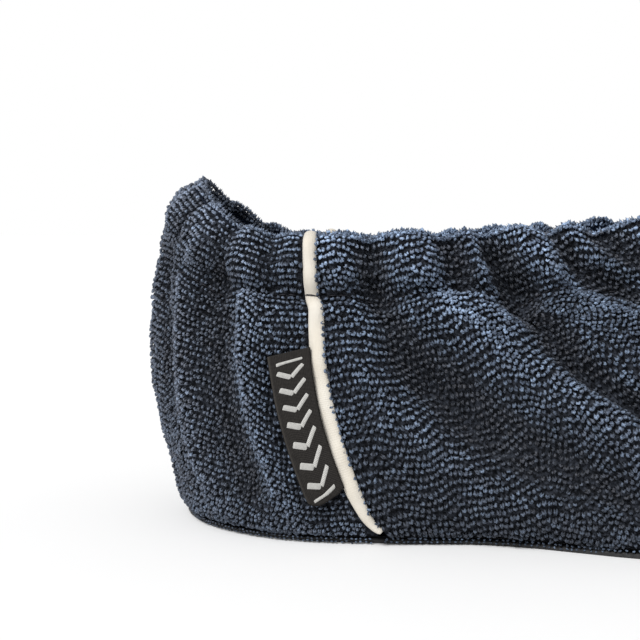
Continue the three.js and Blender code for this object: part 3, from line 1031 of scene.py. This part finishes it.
@dataclass
class KnitPanel:
    """One panel of terry knit between the side seams: its ground, its turned hem and its loops."""

    skin: Skin
    name: str
    node: str
    first: float  # place of its first seam
    last: float
    flat: tuple[float, float]  # metres: along the hem and up the middle, as cut
    flat_area: float
    slant: Slant
    edge_first: float = 2.05 * MM  # from the seam line to the loops
    edge_last: float = 2.05 * MM
    allowance: float = 0.02 * MM  # from the seam line to the ground's edge, under the piping
    turned_in: float = 2 * MM  # how far the ground's foot runs in over the sole
    over_sole: float = 1.35 * MM  # the foot's height over the floor, just above the sole
    foot_level: float = 0.4  # the level of the lowest loops, from which down the ground's foot turns in
    columns: int = 120  # faces across
    levels: int = 46  # faces up each of the ground's two sides
    level_height: float = 9 * MM  # from one level to the next, on average
    foot_level_height: float = 3.5 * MM  # the same at the foot
    pile: float = 1.05 * MM  # how far the loops stand out of the ground
    course: float = 2.15 * MM  # from one row of loops to the next
    wale: float = 1.42 * MM  # from one loop to the next in a row
    stagger: float = 0.4  # shift of each row against the last, in loops
    first_row: float = 0.45  # from the hem's top, in courses
    last_row: float = 0.25  # the least height of a row over the sole, in courses
    inner_stagger: float = 0.4  # the same on the casing's inner face
    inner_step: float = 0.3  # levels from row to row there
    inner_top: float = 9.75  # level of the highest row there
    inner_stray: float = 0.1  # of the loops along the rows there, as a share of the wale
    yarn_loop: YarnLoop = field(default_factory=YarnLoop)
    lean: float = 0.42  # radians from upright
    tilt: float = 1.0  # radians that the loops lie over
    droop: float = 0.3 * MM  # how far back that sets their feet
    foot_height: float = 0.7  # millimetres from the floor to the middle of the lowest loops
    foot_rows: tuple[float, ...] = (0.0, 0.85)  # millimetres that each row at the foot is above the lowest
    foot_slope: float = 0.5  # how far out those rows are for each millimetre up
    foot_ends: float = 0.7  # how much of their ends is left free, against that of the other rows
    foot_lift: float = 0.8  # how bright their loops are, darkened as painted shade at the foot
    rim_setback: float = 0.55  # millimetres that the rim's loops stand back from the side they lie over to
    bare_strip: tuple[float, ...] = (1.3, 2.35, 2.1, 1.95)  # its half width at a seam, in millimetres
    bare_levels: tuple[float, ...] = (0, 3, 7, 10)  # the levels that these are for
    seam_levels: tuple[float, float] = (1.1, 9.9)  # between which loops lap over a piping
    seam_droop: float = 0.9  # how far down they hang, at most, for each step across
    closed_top: float = 9.6  # level where the ground's two layers meet in the hem
    roundness: float = 1.5 * MM  # how far from its edges the ground is rounded off
    lapped: tuple[tuple[float, float], ...] = ()  # pipings that its edge loops lap over, and from which side
    shading: Shading = Shading()
    unrest: Unrest = Unrest()
    seed: int = 5

    @property
    def ends(self) -> tuple[float, float]:
        """How much of a row is left free at the first and at the last seam, in metres."""
        return self.edge_first, self.edge_last

    def profile(self, share: Array) -> tuple[Array, Array]:
        """The way round the ground, 0 to 1 up the outside and to 2 down the inside, and its level."""
        turn = share * 2
        return turn, self.closed_top * (1 - np.abs(1 - turn))

    def ground_point(self, across: Array, round_profile: Array) -> Array:
        """A point of the ground: up the outside, over the hem and down the inside."""
        turn, level = self.profile(round_profile)
        wall = self.skin.wall(level)
        back = np.where(level > STITCH_LEVEL - 0.1, wall - self.pile, wall)
        foot = smoothstep(level, self.foot_level, 0)
        middle = (self.pile + back) / 2 + self.turned_in * foot
        depth = np.where(turn > 1, back, self.pile)
        start = self.first + self.skin.places_in(self.allowance, self.first, level)
        end = self.last - self.skin.places_in(self.allowance, self.last, level)
        place = start + (end - start) * across
        pace = self.skin.bearings(place, level)[2]
        nearest = np.minimum(np.minimum(place - start, end - place) * pace, level * self.foot_level_height)
        full = rounded(nearest / self.roundness)
        point = self.skin.point(place, level, middle + (depth - middle) * full)
        point[..., 2] -= (point[..., 2] - self.over_sole) * foot
        return point

    def build_ground(self, material: bpy.types.Material) -> bpy.types.Object:
        """Makes the knit's ground as one closed sheet."""
        shape = lattice(self.columns, self.levels * 2, self.ground_point)
        weld(shape)
        log.info("%s: %d open edges", self.name, sum(edge.is_boundary for edge in shape.edges))
        piece = finished(self.name, shape, material, self.node)
        self.mark_ground(piece.data)
        return piece

    def mark_ground(self, mesh: bpy.types.Mesh) -> None:
        """Stores each point's row, its place in the row, and whether it is on the inside."""
        across, up = map_of(mesh)
        turn, level = self.profile(up)
        store(
            mesh,
            inside=smoothstep(turn, 0.98, 1.02),
            course=level * self.level_height / self.course,
            wale=across * self.flat[0] / self.wale,
        )

    def rows(self) -> list[tuple[Array, Array, Array]]:
        """The rows of loops, parallel to the hem and cut off at the sole.

        Returns:
            For each row its places, its levels and the distance along it from its seam on the right.
        """
        places = np.linspace(self.first, self.last, 60 * int(self.last - self.first) + 1)
        levels = np.linspace(TOP, 0, 161)
        grid_place, grid_level = np.meshgrid(places, levels, indexing="ij")
        points = self.skin.point(grid_place, grid_level).reshape(*grid_place.shape, 3)
        steps = np.linalg.norm(np.diff(points, axis=1), axis=-1)
        below = np.concatenate([np.zeros((len(places), 1)), np.cumsum(steps, axis=1)], axis=1)
        vary = self.unrest
        wave, shiver = Ripple(self.seed, vary.row_wave_length), Ripple(self.seed + 1, vary.row_shiver_length)
        result, before = [], None
        for number in range(int(below[:, -1].max() / self.course) + 1):
            sink = self.course * (number + self.first_row)
            level = np.array([np.interp(sink, column, levels) for column in below])
            line = self.skin.smooth(places, level)
            sinks = sink + (wave(line) * vary.row_wave + shiver(line) * vary.row_shiver) * self.course
            level = np.array([np.interp(down, column, levels) for down, column in zip(sinks, below)])
            keep = np.flatnonzero(sink < below[:, -1] - self.last_row * self.course)
            if len(keep) < 3:
                break
            if self.slant is Slant.FORWARD:  # the heel's rows end at the right seam
                keep = keep[::-1]
            along = travelled(self.skin.point(places[keep], level[keep]))
            if before is not None:
                along += before[keep[0]]
            before = np.zeros(len(places))
            before[keep] = along
            result.append((places[keep], level[keep], along))
        return result

    def loops(self) -> tuple[Array, Array]:
        """Where the loops on the outside stand: their places and levels."""
        draw = np.random.default_rng(self.seed)
        near, far = reversed(self.ends) if self.slant is Slant.FORWARD else self.ends
        found = []
        for number, (place, level, along) in enumerate(self.rows()):
            first = math.ceil((along[0] + near) / self.wale - number * self.stagger)
            last = math.floor((along[-1] - far) / self.wale - number * self.stagger)
            stops = (np.arange(first, last + 1) + number * self.stagger) * self.wale
            stops = stops + draw.normal(0, self.unrest.stray, len(stops)) * self.wale
            found.append(np.stack([np.interp(stops, along, place), np.interp(stops, along, level)]))
        place, level = np.concatenate(found, axis=1)
        return place, level

    def casing_loops(self) -> tuple[Array, Array, Array]:
        """Where the loops on the casing's inner face stand: their places, levels and depths."""
        draw = np.random.default_rng(self.seed + 1)
        places = np.linspace(self.first, self.last, 400)
        found = []
        for number, level in enumerate(np.arange(self.inner_top, STITCH_LEVEL + 0.15, -self.inner_step)):
            wall = self.skin.wall(level)
            line = self.skin.point(places, level, wall)
            shift = number * self.inner_stagger * self.wale
            place = strewn(line, places, self.ends, self.wale, self.inner_stray * self.wale, draw, shift)
            found.append(np.stack(np.broadcast_arrays(place, level, wall)))
        place, level, depth = np.concatenate(found, axis=1)
        return place, level, depth

    def stand(self, place: Array, level: Array, depth: Array, outward: float, seed: int) -> Copies:
        """Sets up the loops on one face of the knit.

        Args:
            place, level, depth: where they stand.
            outward: 1 on the outside, -1 on the inside of the casing.
            seed: picks their small differences.

        Returns:
            The loops.
        """
        draw = np.random.default_rng(seed)
        vary, count = self.unrest, len(place)
        onward, up, out = self.skin.directions(place, level, depth)
        out = out * outward
        centre = self.skin.point(place, level, depth)
        height = self.skin.relief(place, level, self.skin.bearings(place, level)[2]) / MM
        zone, patch = Ripple(seed + 11, vary.zone_length), Ripple(seed + 12, vary.patch_length)
        lean = self.lean * self.slant.value * (1 + vary.zone_lean * zone(centre))
        lean = lean + draw.normal(0, vary.lean, count)
        hang = -(up * np.cos(lean)[:, None] + onward * np.sin(lean)[:, None])
        size = 1 + vary.patch_size * patch(centre) + vary.fold_size * np.clip(height, *vary.fold_limits)
        tilt = self.tilt + draw.normal(0, vary.tilt, count)
        reach = (self.yarn_loop.rise + self.yarn_loop.yarn) * MM
        centre = centre - out * (size * reach * np.cos(tilt))[:, None]
        centre = centre + out * draw.normal(0, vary.depth, count)[:, None] - hang * self.droop
        centre = centre + up * (draw.normal(0, vary.stray, count) * self.course * vary.cross_stray)[:, None]
        lift, dusk = self.shading.lift(level, height), self.shading.dusk(level, height)
        return self.posed(centre, out, hang, tilt, size, draw, lift, dusk)

    def posed(
        self,
        centre: Array,
        out: Array,
        hang: Array,
        tilt: Array,
        size: Array | float,
        draw: np.random.Generator,
        lift: Array | float = 1.0,
        dusk: Array | float = 0.0,
    ) -> Copies:
        """Loops that stand on a surface and lie over to one side.

        Args:
            centre: their middles.
            out: away from the surface.
            hang: the way that they lie over.
            tilt: how far, in radians.
            size: their sizes, as shares.
            draw: gives their small differences.
            lift: how bright painted light and shade make them.
            dusk: how grey painted shade makes them.

        Returns:
            The loops.
        """
        count = len(centre)
        top = unit(out * np.cos(tilt)[:, None] + hang * np.sin(tilt)[:, None])
        across = unit(np.cross(out, top))
        twist = draw.normal(0, self.unrest.twist, count)[:, None]
        through = np.cross(across, top)
        turned = across * np.cos(twist) + through * np.sin(twist)
        through = through * np.cos(twist) - across * np.sin(twist)
        sizes = size * (1 + draw.normal(0, self.unrest.size, (3, count))) * MM
        axes = np.stack([axis * scale[:, None] for axis, scale in zip((turned, top, through), sizes)], axis=1)
        return Copies(centre, axes, self.shading.looks(centre, self.seed + 13, draw, lift, dusk))

    def build_loops(self, material: bpy.types.Material, most: int) -> list[bpy.types.Object]:
        """Makes the loops in pieces, each a band of rows with no more than a given number of loops."""
        place, level = self.loops()
        outside = self.stand(place, level, np.zeros_like(place), 1.0, self.seed)
        inside = self.stand(*self.casing_loops(), -1.0, self.seed + 1)
        edges = [self.edge_loops(seam, onto) for seam, onto in self.lapped]
        feet = [self.foot_loops(self.foot_height + rise, rise * self.foot_slope) for rise in self.foot_rows]
        copies = Copies.joined([inside, self.rim_loops(), *edges, *feet, outside])
        count = len(copies.centres)
        pieces = []
        for number, chosen in enumerate(np.array_split(np.arange(count), math.ceil(count / most))):
            name = f"{self.name}_loops_{number + 1}"
            pieces.append(placed(name, self.yarn_loop.strew(name, copies.chosen(chosen)), material))
        log.info("%s: %d loops", self.name, count)
        return pieces

    def along(
        self, row: EdgeRow, line: Array, marks: Array, ends: tuple[float, float], pitch: float,
        draw: np.random.Generator,
    ) -> Array:
        """The places or levels of an edge row's loops.

        Args:
            row: the row.
            line: the points of the line that it follows.
            marks: the place or the level of each point.
            ends: how much of the line is left free at its start and at its end, in metres.
            pitch: the panel's, in metres.
            draw: gives the loops' small differences.

        Returns:
            The place or the level of each loop.
        """
        stray = self.unrest.stray if row.stray is None else row.stray
        return strewn(line, marks, ends, row.pitch * pitch, stray * pitch, draw)

    def foot_loops(self, height: float, further: float) -> Copies:
        """A row of loops along the foot that covers the sole's edge.

        Args:
            height: of the loops' middles over the floor, in millimetres.
            further: how much further out they are than the lowest row, in millimetres.

        Returns:
            The loops.
        """
        row, draw = FOOT_ROW, np.random.default_rng(self.seed + int(10 * height))
        places = np.linspace(self.first, self.last, row.samples)
        line = self.skin.smooth(places, self.foot_level)
        ends = (self.edge_first * self.foot_ends, self.edge_last * self.foot_ends)
        place = self.along(row, line, places, ends, self.wale, draw)
        count = len(place)
        level = np.full(count, self.foot_level)
        out = unit(self.skin.bearings(place, level)[1] * (1, 1, 0))
        centre = self.skin.smooth(place, level) + out * (further - row.sunk) * MM
        centre[:, 2] = (height + draw.normal(0, row.wander, count)) * MM
        down = np.broadcast_to((0.0, 0.0, -1.0), out.shape)
        tilt = draw.normal(row.tilt, row.tilt_stray, count)
        return self.posed(centre, out, down, tilt, row.size, draw, self.foot_lift)

    def rim_loops(self) -> Copies:
        """The loops along the very top of the hem."""
        row, draw = RIM_ROW, np.random.default_rng(self.seed + 2)
        places = np.linspace(self.first, self.last, row.samples)
        half_wall = self.skin.wall(TOP) / 2
        line = self.skin.point(places, TOP, half_wall)
        place = self.along(row, line, places, self.ends, self.wale, draw)
        level = np.full_like(place, TOP)
        _, up, out = self.skin.directions(place, level, half_wall)
        count = len(place)
        side = draw.choice((-1.0, 1.0), count)  # 1 lies over outwards, -1 inwards
        centre = self.skin.point(place, level, half_wall) - up * row.sunk * MM
        aside = draw.uniform(-row.wander, row.wander, count) - self.rim_setback * side
        tilt = side * draw.normal(row.tilt, row.tilt_stray, count)
        # painted highlight on the rim's loops, as on top of the casing
        lift = 1 + self.shading.casing_lift
        return self.posed(centre + out * (aside * MM)[:, None], up, out, tilt, row.size, draw, lift)

    def edge_loops(self, seam: float, onto: float) -> Copies:
        """A line of loops that lap over a piping's edge.

        Args:
            seam: the piping's place.
            onto: 1 if the panel comes before the seam, -1 if it comes after.

        Returns:
            The loops.
        """
        row, draw = SEAM_ROW, np.random.default_rng(self.seed + 3)
        levels = np.linspace(*self.seam_levels, row.samples)
        line = self.skin.point(seam, levels)
        level = self.along(row, line, levels, (0.5 * self.course, 0.0), self.course, draw)
        count = len(level)
        strip = np.interp(level, self.bare_levels, self.bare_strip)
        away = (strip + draw.normal(0, row.wander, count)) * MM
        place = seam - onto * self.skin.places_in(away, seam, level)
        onward, up, out = self.skin.directions(place, level)
        centre = self.skin.point(place, level) - out * row.sunk * MM
        hang = unit(onward * onto - up * draw.uniform(0.0, self.seam_droop, count)[:, None])
        tilt = draw.normal(row.tilt, row.tilt_stray, count)
        return self.posed(centre, out, hang, tilt, row.size, draw)


@dataclass
class Piping:
    """The off-white piping in a side seam, from the sole's edge up over the hem.

    half_widths are in millimetres, from its lower end to its end inside the hem.
    """

    skin: Skin
    name: str
    node: str
    seam: float
    half_widths: tuple[float, ...] = (0.5, 1.2, 1.9, 2.15, 2.1, 2.05, 1.85, 1.75, 1.7, 1.7, 1.6)
    half_height: float = 1.2 * MM
    sunk: float = 0.35 * MM
    curl: float = 1.6 * MM  # how far its lower end turns towards the toe
    low_level: float = 0.75
    high_level: float = 9.75
    outside: float = 0.9  # the share of its length on the outside
    arch: float = 0.32  # how many levels it rises in its turn over the hem
    tail: float = 1.6  # how many levels it reaches down the inside
    rows: int = 150
    columns: int = 18

    def climb(self, share: Array) -> Array:
        """The level of its middle line on the outside."""
        return self.low_level + (self.high_level - self.low_level) * share / self.outside

    def line(self, share: Array) -> Array:
        """The middle line: up the outside, over the hem and a little way down the inside."""
        turn = np.clip((share - self.outside) / (1 - self.outside), 0, 1)
        angle = turn * math.pi
        level = self.climb(np.minimum(share, self.outside)) + self.arch * np.sin(angle) - self.tail * turn**2
        depth = self.sunk + (self.skin.wall(level) - 2 * self.sunk) * 0.5 * (1 - np.cos(angle))
        return self.skin.point(np.full_like(share, self.seam), level, depth)

    def surface(self, across: Array, along: Array) -> Array:
        """A point on the piping's round skin."""
        share = 0.004 + 0.992 * along
        centre = self.line(share)
        way = unit(self.line(share + 0.002) - self.line(share - 0.002))
        level = np.clip(self.climb(share), 0, TOP)
        side = self.skin.directions(np.full_like(share, self.seam), level)[0]
        side = unit(side - way * (side * way).sum(-1, keepdims=True))
        out = np.cross(side, way)
        angle = TAU * across
        ends = rounded(np.minimum(along, 1 - along) * 60)
        half_width = np.interp(along, np.linspace(0, 1, len(self.half_widths)) ** 1.3, self.half_widths) * MM
        reach = (-np.cos(angle) * half_width * ends)[:, None] * side
        rise = (np.sin(angle) * self.half_height * ends)[:, None] * out
        turn = self.curl * np.clip(1 - along * 12, 0, 1) ** 2 * (1 if self.seam < TOE else -1)
        return centre + reach + rise + side * turn[:, None]

    def build(self, material: bpy.types.Material) -> bpy.types.Object:
        """Makes the piping."""
        shape = lattice(self.columns, self.rows, self.surface)
        weld(shape)
        bmesh.ops.recalc_face_normals(shape, faces=shape.faces[:])
        piece = finished(self.name, shape, material, self.node)
        across, along = map_of(piece.data)
        store(piece.data, along=along * 300, across=across * 30)
        return piece


@dataclass
class Stitching:
    """The seam that closes the casing: a line of stitches, and one over each piping."""

    skin: Skin
    stitch: YarnLoop = field(default_factory=lambda: YarnLoop(0.95, 0.3, 0.17, 95, 4))
    over_piping: YarnLoop = field(default_factory=lambda: YarnLoop(1.95, 1.5, 0.17, 88, 4))
    pitch: float = 2.5 * MM
    depth: float = 0.75 * MM  # under the skin
    piping_depth: float = 0.35 * MM
    skew: float = 0.16  # radians that the stitches on the piping slant
    clear: float = 0.2  # places on each side of a piping without stitches in the knit

    def line(self) -> Copies:
        """The stitches in the knit, all the way round but for the pipings."""
        places = np.linspace(0, LOOP, 3000, endpoint=False)
        along = travelled(self.skin.point(places, STITCH_LEVEL, self.depth))
        place = np.interp(np.arange(0.5 * self.pitch, along[-1], self.pitch), along, places)
        place = place[np.minimum(abs(place - RIGHT_SEAM), abs(place - LEFT_SEAM)) > self.clear]
        return self.at(place, np.full_like(place, STITCH_LEVEL), self.depth, 0.0)

    def at(self, place: Array, level: Array, depth: float, skew: float) -> Copies:
        """Stitches at some places."""
        onward, up, out = self.skin.directions(place, level, depth)
        across = onward * math.cos(skew) - up * math.sin(skew)
        axes = np.stack([across, out, np.cross(across, out)], axis=1) * MM
        return Copies(self.skin.point(place, level, depth), axes)

    def build(self, material: bpy.types.Material) -> list[bpy.types.Object]:
        """Makes the stitches."""
        seams = np.array([RIGHT_SEAM, LEFT_SEAM], float)
        over = self.at(seams, np.full(2, STITCH_LEVEL - 0.05), self.piping_depth, self.skew)
        line = self.stitch.strew("casing_stitches", self.line())
        crossing = self.over_piping.strew("piping_stitches", over)
        return [placed(mesh.name, mesh, material) for mesh in (line, crossing)]


@dataclass
class SideLabel:
    """The woven label, folded at its loose edge and sewn into the right seam."""

    skin: Skin
    width: float = 10.8 * MM
    low_level: float = 1.6
    high_level: float = 4.15
    seam_lift: tuple[float, float] = (0.504, 0.28)  # levels that it rises to the seam, at its foot and top
    length: float = 38.5  # millimetres
    corner: float = 4.5  # millimetres
    seam_gap: float = 1.6 * MM
    stand_off: tuple[float, float] = (0.4 * MM, 1.3 * MM)  # at the seam and at the loose edge
    layer: float = 0.3 * MM
    between: float = 0.22 * MM
    fold_round: float = 0.07  # the share of its width that the round of its fold takes
    rib: tuple[float, float] = (0.3746, 0.42)  # millimetres from rib to rib of its weave, along and across
    rows: int = 60
    columns: int = 26
    chevrons: int = 7
    chevron_pitch: float = 4.3  # millimetres, as the next five
    chevron_depth: float = 2.5
    stroke: float = 1.35
    motif_edges: tuple[float, float] = (1.9, 8.9)
    motif_low: float = 4.4
    bar_gaps: tuple[float, float] = (2.2, 0.4)  # from the chevrons down to one bar and up to the other
    bar_stroke: float = 0.8  # its width, as a share of the chevrons' stroke
    satin: float = 0.17 * MM  # how high the threads are raised
    satin_foot: float = 0.04 * MM  # how deep their edges are sunk in
    satin_thread: float = 0.3  # millimetres from thread to thread
    satin_face: float = 0.4  # millimetres, the length of a face of the mesh

    def place(self, share: Array, up: Array, height: Array) -> Array:
        """A point of the label.

        Args:
            share: from 0 at the loose edge to 1 at the seam.
            up: from 0 at its lower end, without the rounded corner, to 1 at its upper end.
            height: how far over the label's lower face, in metres.

        Returns:
            The point.
        """
        level = self.low_level + (self.high_level - self.low_level) * up
        low_lift, high_lift = self.seam_lift
        level = level + share * (low_lift + (high_lift - low_lift) * up)
        back = self.seam_gap + (1 - share) * self.width
        place = RIGHT_SEAM - self.skin.places_in(back, RIGHT_SEAM, level)
        off = self.stand_off[1] + (self.stand_off[0] - self.stand_off[1]) * share
        out = self.skin.bearings(place, level)[1]
        return self.skin.smooth(place, level) + out * (off + height)[:, None]

    def surface(self, across: Array, up: Array) -> Array:
        """A point on the folded tape: its upper face, round the fold, and back on its inner faces."""
        turn = across * 4  # 0-1 outer top face, 1-2 under it, 2-3 over the back layer, 3-4 its underside
        leg = np.clip(turn, 0, 4)
        full = 2 * self.layer + self.between
        share = np.where(leg <= 1, 1 - leg, np.where(leg <= 2, leg - 1, np.where(leg <= 3, 3 - leg, leg - 3)))
        outer = (leg <= 1) | (leg > 3)
        half = np.where(outer, full / 2, self.between / 2) * rounded(share / self.fold_round)
        sign = np.where(leg <= 2, 1.0, -1.0)
        share = np.where(outer, share, share * 0.98 + 0.02)
        inset = np.maximum(0, self.corner - share * self.width / MM)
        cut = (self.corner - np.sqrt(self.corner**2 - inset**2)) / self.length
        return self.place(share, cut + (1 - cut) * up, full / 2 + sign * half)

    def build(self, material: bpy.types.Material) -> bpy.types.Object:
        """Makes the label as one closed strip."""
        shape = lattice(self.columns * 4, self.rows, self.surface)
        weld(shape)
        rims = [edge for edge in shape.edges if edge.is_boundary]
        bmesh.ops.holes_fill(shape, edges=rims, sides=0)
        bmesh.ops.triangulate(shape, faces=[face for face in shape.faces if len(face.verts) > 4])
        bmesh.ops.recalc_face_normals(shape, faces=shape.faces[:])
        piece = finished("side_label", shape, material, "label")
        across, up = map_of(piece.data)
        share = np.abs(((across * 4) % 2) - 1)
        along_rib, across_rib = self.rib
        store(
            piece.data,
            along=up * self.length / along_rib,
            across=share * self.width / MM / across_rib,
            # near the loose edge, for the painted highlight along the fold
            fold=smoothstep(share, 0.05, 0.015),
        )
        return piece

    def motif_arms(self) -> list[tuple[tuple[float, float], tuple[float, float], float]]:
        """The motif, a row of tyre-tread chevrons between two bars: each arm's two ends and its width.

        Returns:
            Ends in millimetres from the loose edge and from the lower end, and widths in millimetres.
        """
        arms = []
        for number in range(self.chevrons):
            low = self.motif_low + self.chevron_pitch * number
            for edge in self.motif_edges:
                arms.append(((sum(self.motif_edges) / 2, low), (edge, low + self.chevron_depth), self.stroke))
        below, above = self.bar_gaps
        motif_high = self.motif_low + self.chevron_pitch * self.chevrons
        for bar in (self.motif_low - below, motif_high + above):
            ends = [(edge, bar) for edge in self.motif_edges]
            arms.append((*ends, self.stroke * self.bar_stroke))
        return arms

    def build_motif(self, material: bpy.types.Material) -> bpy.types.Object:
        """Makes the motif of raised satin threads on the label's outer face."""
        shape = bmesh.new()
        shape.loops.layers.uv.new(BAKE_UV)
        top = 2 * self.layer + self.between
        runs = []
        for start, end, stroke in self.motif_arms():
            way = np.subtract(end, start)
            reach = np.hypot(*way)
            side = np.array((-way[1], way[0])) / reach * stroke / 2

            def on_label(along: Array, across: Array, start=start, way=way, side=side) -> Array:
                """A point of this arm."""
                flat = np.array(start) + along[:, None] * way + (2 * across - 1)[:, None] * side
                swell = (1 - (2 * across - 1) ** 4) * (1 - (2 * along - 1) ** 10)
                height = top + self.satin * swell - self.satin_foot
                return self.place(flat[:, 0] * MM / self.width, flat[:, 1] / self.length, height)

            arm = lattice(int(reach / self.satin_face), 5, on_label)
            mesh = bpy.data.meshes.new("arm")
            bmesh.ops.recalc_face_normals(arm, faces=arm.faces[:])
            arm.to_mesh(mesh)
            arm.free()
            shape.from_mesh(mesh)
            runs.append(np.full(len(mesh.vertices), round(reach / self.satin_thread)))
            bpy.data.meshes.remove(mesh)
        piece = finished("label_motif", shape, material)
        across, _ = map_of(piece.data)
        store(piece.data, thread=across * np.concatenate(runs))
        return piece


@dataclass
class Studio:
    """White paper, soft light from above and in front, and the camera."""

    lens: float = 70.875
    camera_place: tuple[float, float, float] = (-0.07025, -0.33886, 0.0785)
    azimuth: float = 5.0
    pitch: float = 4.5
    world_light: float = 0.45
    sun_strength: float = 2.9
    sun_angle: float = 24.0  # degrees across
    sun_from: tuple[float, float, float] = (-0.46, -0.6, 0.85)

    def build_camera(self) -> None:
        """Adds the camera."""
        data = bpy.data.cameras.new("camera")
        data.lens, data.sensor_width = self.lens, 36.0
        data.clip_start, data.clip_end = 0.01, 20.0
        camera = bpy.data.objects.new("camera", data)
        camera.location = self.camera_place
        camera.rotation_euler = (math.radians(90 - self.pitch), 0, math.radians(self.azimuth))
        bpy.context.scene.collection.objects.link(camera)
        bpy.context.scene.camera = camera

    def build_floor(self) -> None:
        """Adds the paper that the cover stands on."""
        shape = bmesh.new()
        bmesh.ops.create_grid(shape, x_segments=1, y_segments=1, size=6.0)
        mesh = bpy.data.meshes.new("paper")
        shape.to_mesh(mesh)
        shape.free()
        mesh.materials.append(PaperFinish().material())
        floor = bpy.data.objects.new("paper", mesh)
        bpy.context.scene.collection.objects.link(floor)

    def build_sun(self) -> None:
        """Adds the main light: large, soft, and far away."""
        data = bpy.data.lights.new("softbox", "SUN")
        data.energy, data.angle = self.sun_strength, math.radians(self.sun_angle)
        light = bpy.data.objects.new("softbox", data)
        light.rotation_euler = (-Vector(self.sun_from)).to_track_quat("-Z", "Y").to_euler()
        bpy.context.scene.collection.objects.link(light)

    def build_sky(self) -> None:
        """Adds even light from all round, behind which the camera sees white paper."""
        world = bpy.data.worlds.new("studio")
        bpy.context.scene.world = world
        world.use_nodes = True
        tree = world.node_tree
        sky = tree.nodes["Background"]
        sky.inputs["Color"].default_value = (1, 1, 1, 1)
        rays = tree.nodes.new("ShaderNodeLightPath")
        seen = tree.nodes.new("ShaderNodeMapRange")
        seen.inputs["To Min"].default_value = self.world_light
        seen.inputs["To Max"].default_value = 1.0
        tree.links.new(rays.outputs["Is Camera Ray"], seen.inputs["Value"])
        tree.links.new(seen.outputs["Result"], sky.inputs["Strength"])

    def build(self) -> None:
        """Builds the whole studio."""
        self.build_camera()
        self.build_floor()
        self.build_sun()
        self.build_sky()
        settings = bpy.context.scene.view_settings
        settings.view_transform, settings.look = "Standard", "None"


SEAM_THREAD = ThreadFinish("seam_thread", (0.022, 0.022, 0.028, 1))
LABEL_THREAD = ThreadFinish("label_thread", (0.66, 0.65, 0.62, 1), 0.4)


@dataclass
class ShoeGrip:
    """The whole cover."""

    skin: Skin = field(default_factory=Skin)
    most_loops: int = 7000  # in one piece

    def heel(self) -> KnitPanel:
        """The panel behind the side seams, of a fine, close pile."""
        return KnitPanel(
            self.skin, "heel_knit", "heel_panel", -RIGHT_SEAM, RIGHT_SEAM,
            flat=(0.150, 0.098), flat_area=0.0137, slant=Slant.FORWARD,
            columns=76, edge_last=2.35 * MM, course=1.7 * MM, wale=1.2 * MM, pile=0.8 * MM,
            yarn_loop=YarnLoop(0.34, 0.85, 0.36, 100),
            unrest=Unrest(stray=0.1, twist=0.3), shading=Shading(foot_lift=0.92), seed=5,
        )

    def front(self) -> KnitPanel:
        """The panel in front of the side seams and round the toe."""
        return KnitPanel(
            self.skin, "front_knit", "front_panel", RIGHT_SEAM, LEFT_SEAM,
            flat=(0.520, 0.158), flat_area=0.060, slant=Slant.BACKWARD,
            columns=230, edge_first=1.5 * MM, course=1.95 * MM, wale=1.4 * MM, stagger=0.25, pile=0.9 * MM,
            yarn_loop=YarnLoop(0.43, 0.95, 0.4, 102), foot_height=0.95,
            unrest=Unrest(stray=0.13), shading=Shading(shade=0.31, foot_lift=0.58, casing_lift=0.84),
            lapped=((RIGHT_SEAM, -1), (LEFT_SEAM, 1)), seed=31,
        )

    def build(self) -> None:
        """Builds and dresses every piece."""
        loops, ground = PileFinish().material(), BackingFinish().material()
        for panel in (self.heel(), self.front()):
            cloth = panel.build_ground(ground)
            pile = panel.build_loops(loops, self.most_loops)
        woven = TapeFinish().material()
        Piping(self.skin, "right_piping", "piping_right", RIGHT_SEAM).build(woven)
        Piping(self.skin, "left_piping", "piping_left", LEFT_SEAM).build(woven)
        Stitching(self.skin).build(SEAM_THREAD.material())
        label = SideLabel(self.skin)
        tape = label.build(TwillFinish().material())
        motif = label.build_motif(LABEL_THREAD.material())
        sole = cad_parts["sole"]
        sole.data.materials.clear()
        sole.data.materials.append(SoleFinish().material())


def main() -> None:
    """Builds the cover and the studio."""
    logging.basicConfig(level=logging.INFO, format="%(name)s: %(message)s")
    ShoeGrip().build()
    Studio().build()


if __name__ == "__main__":
    main()
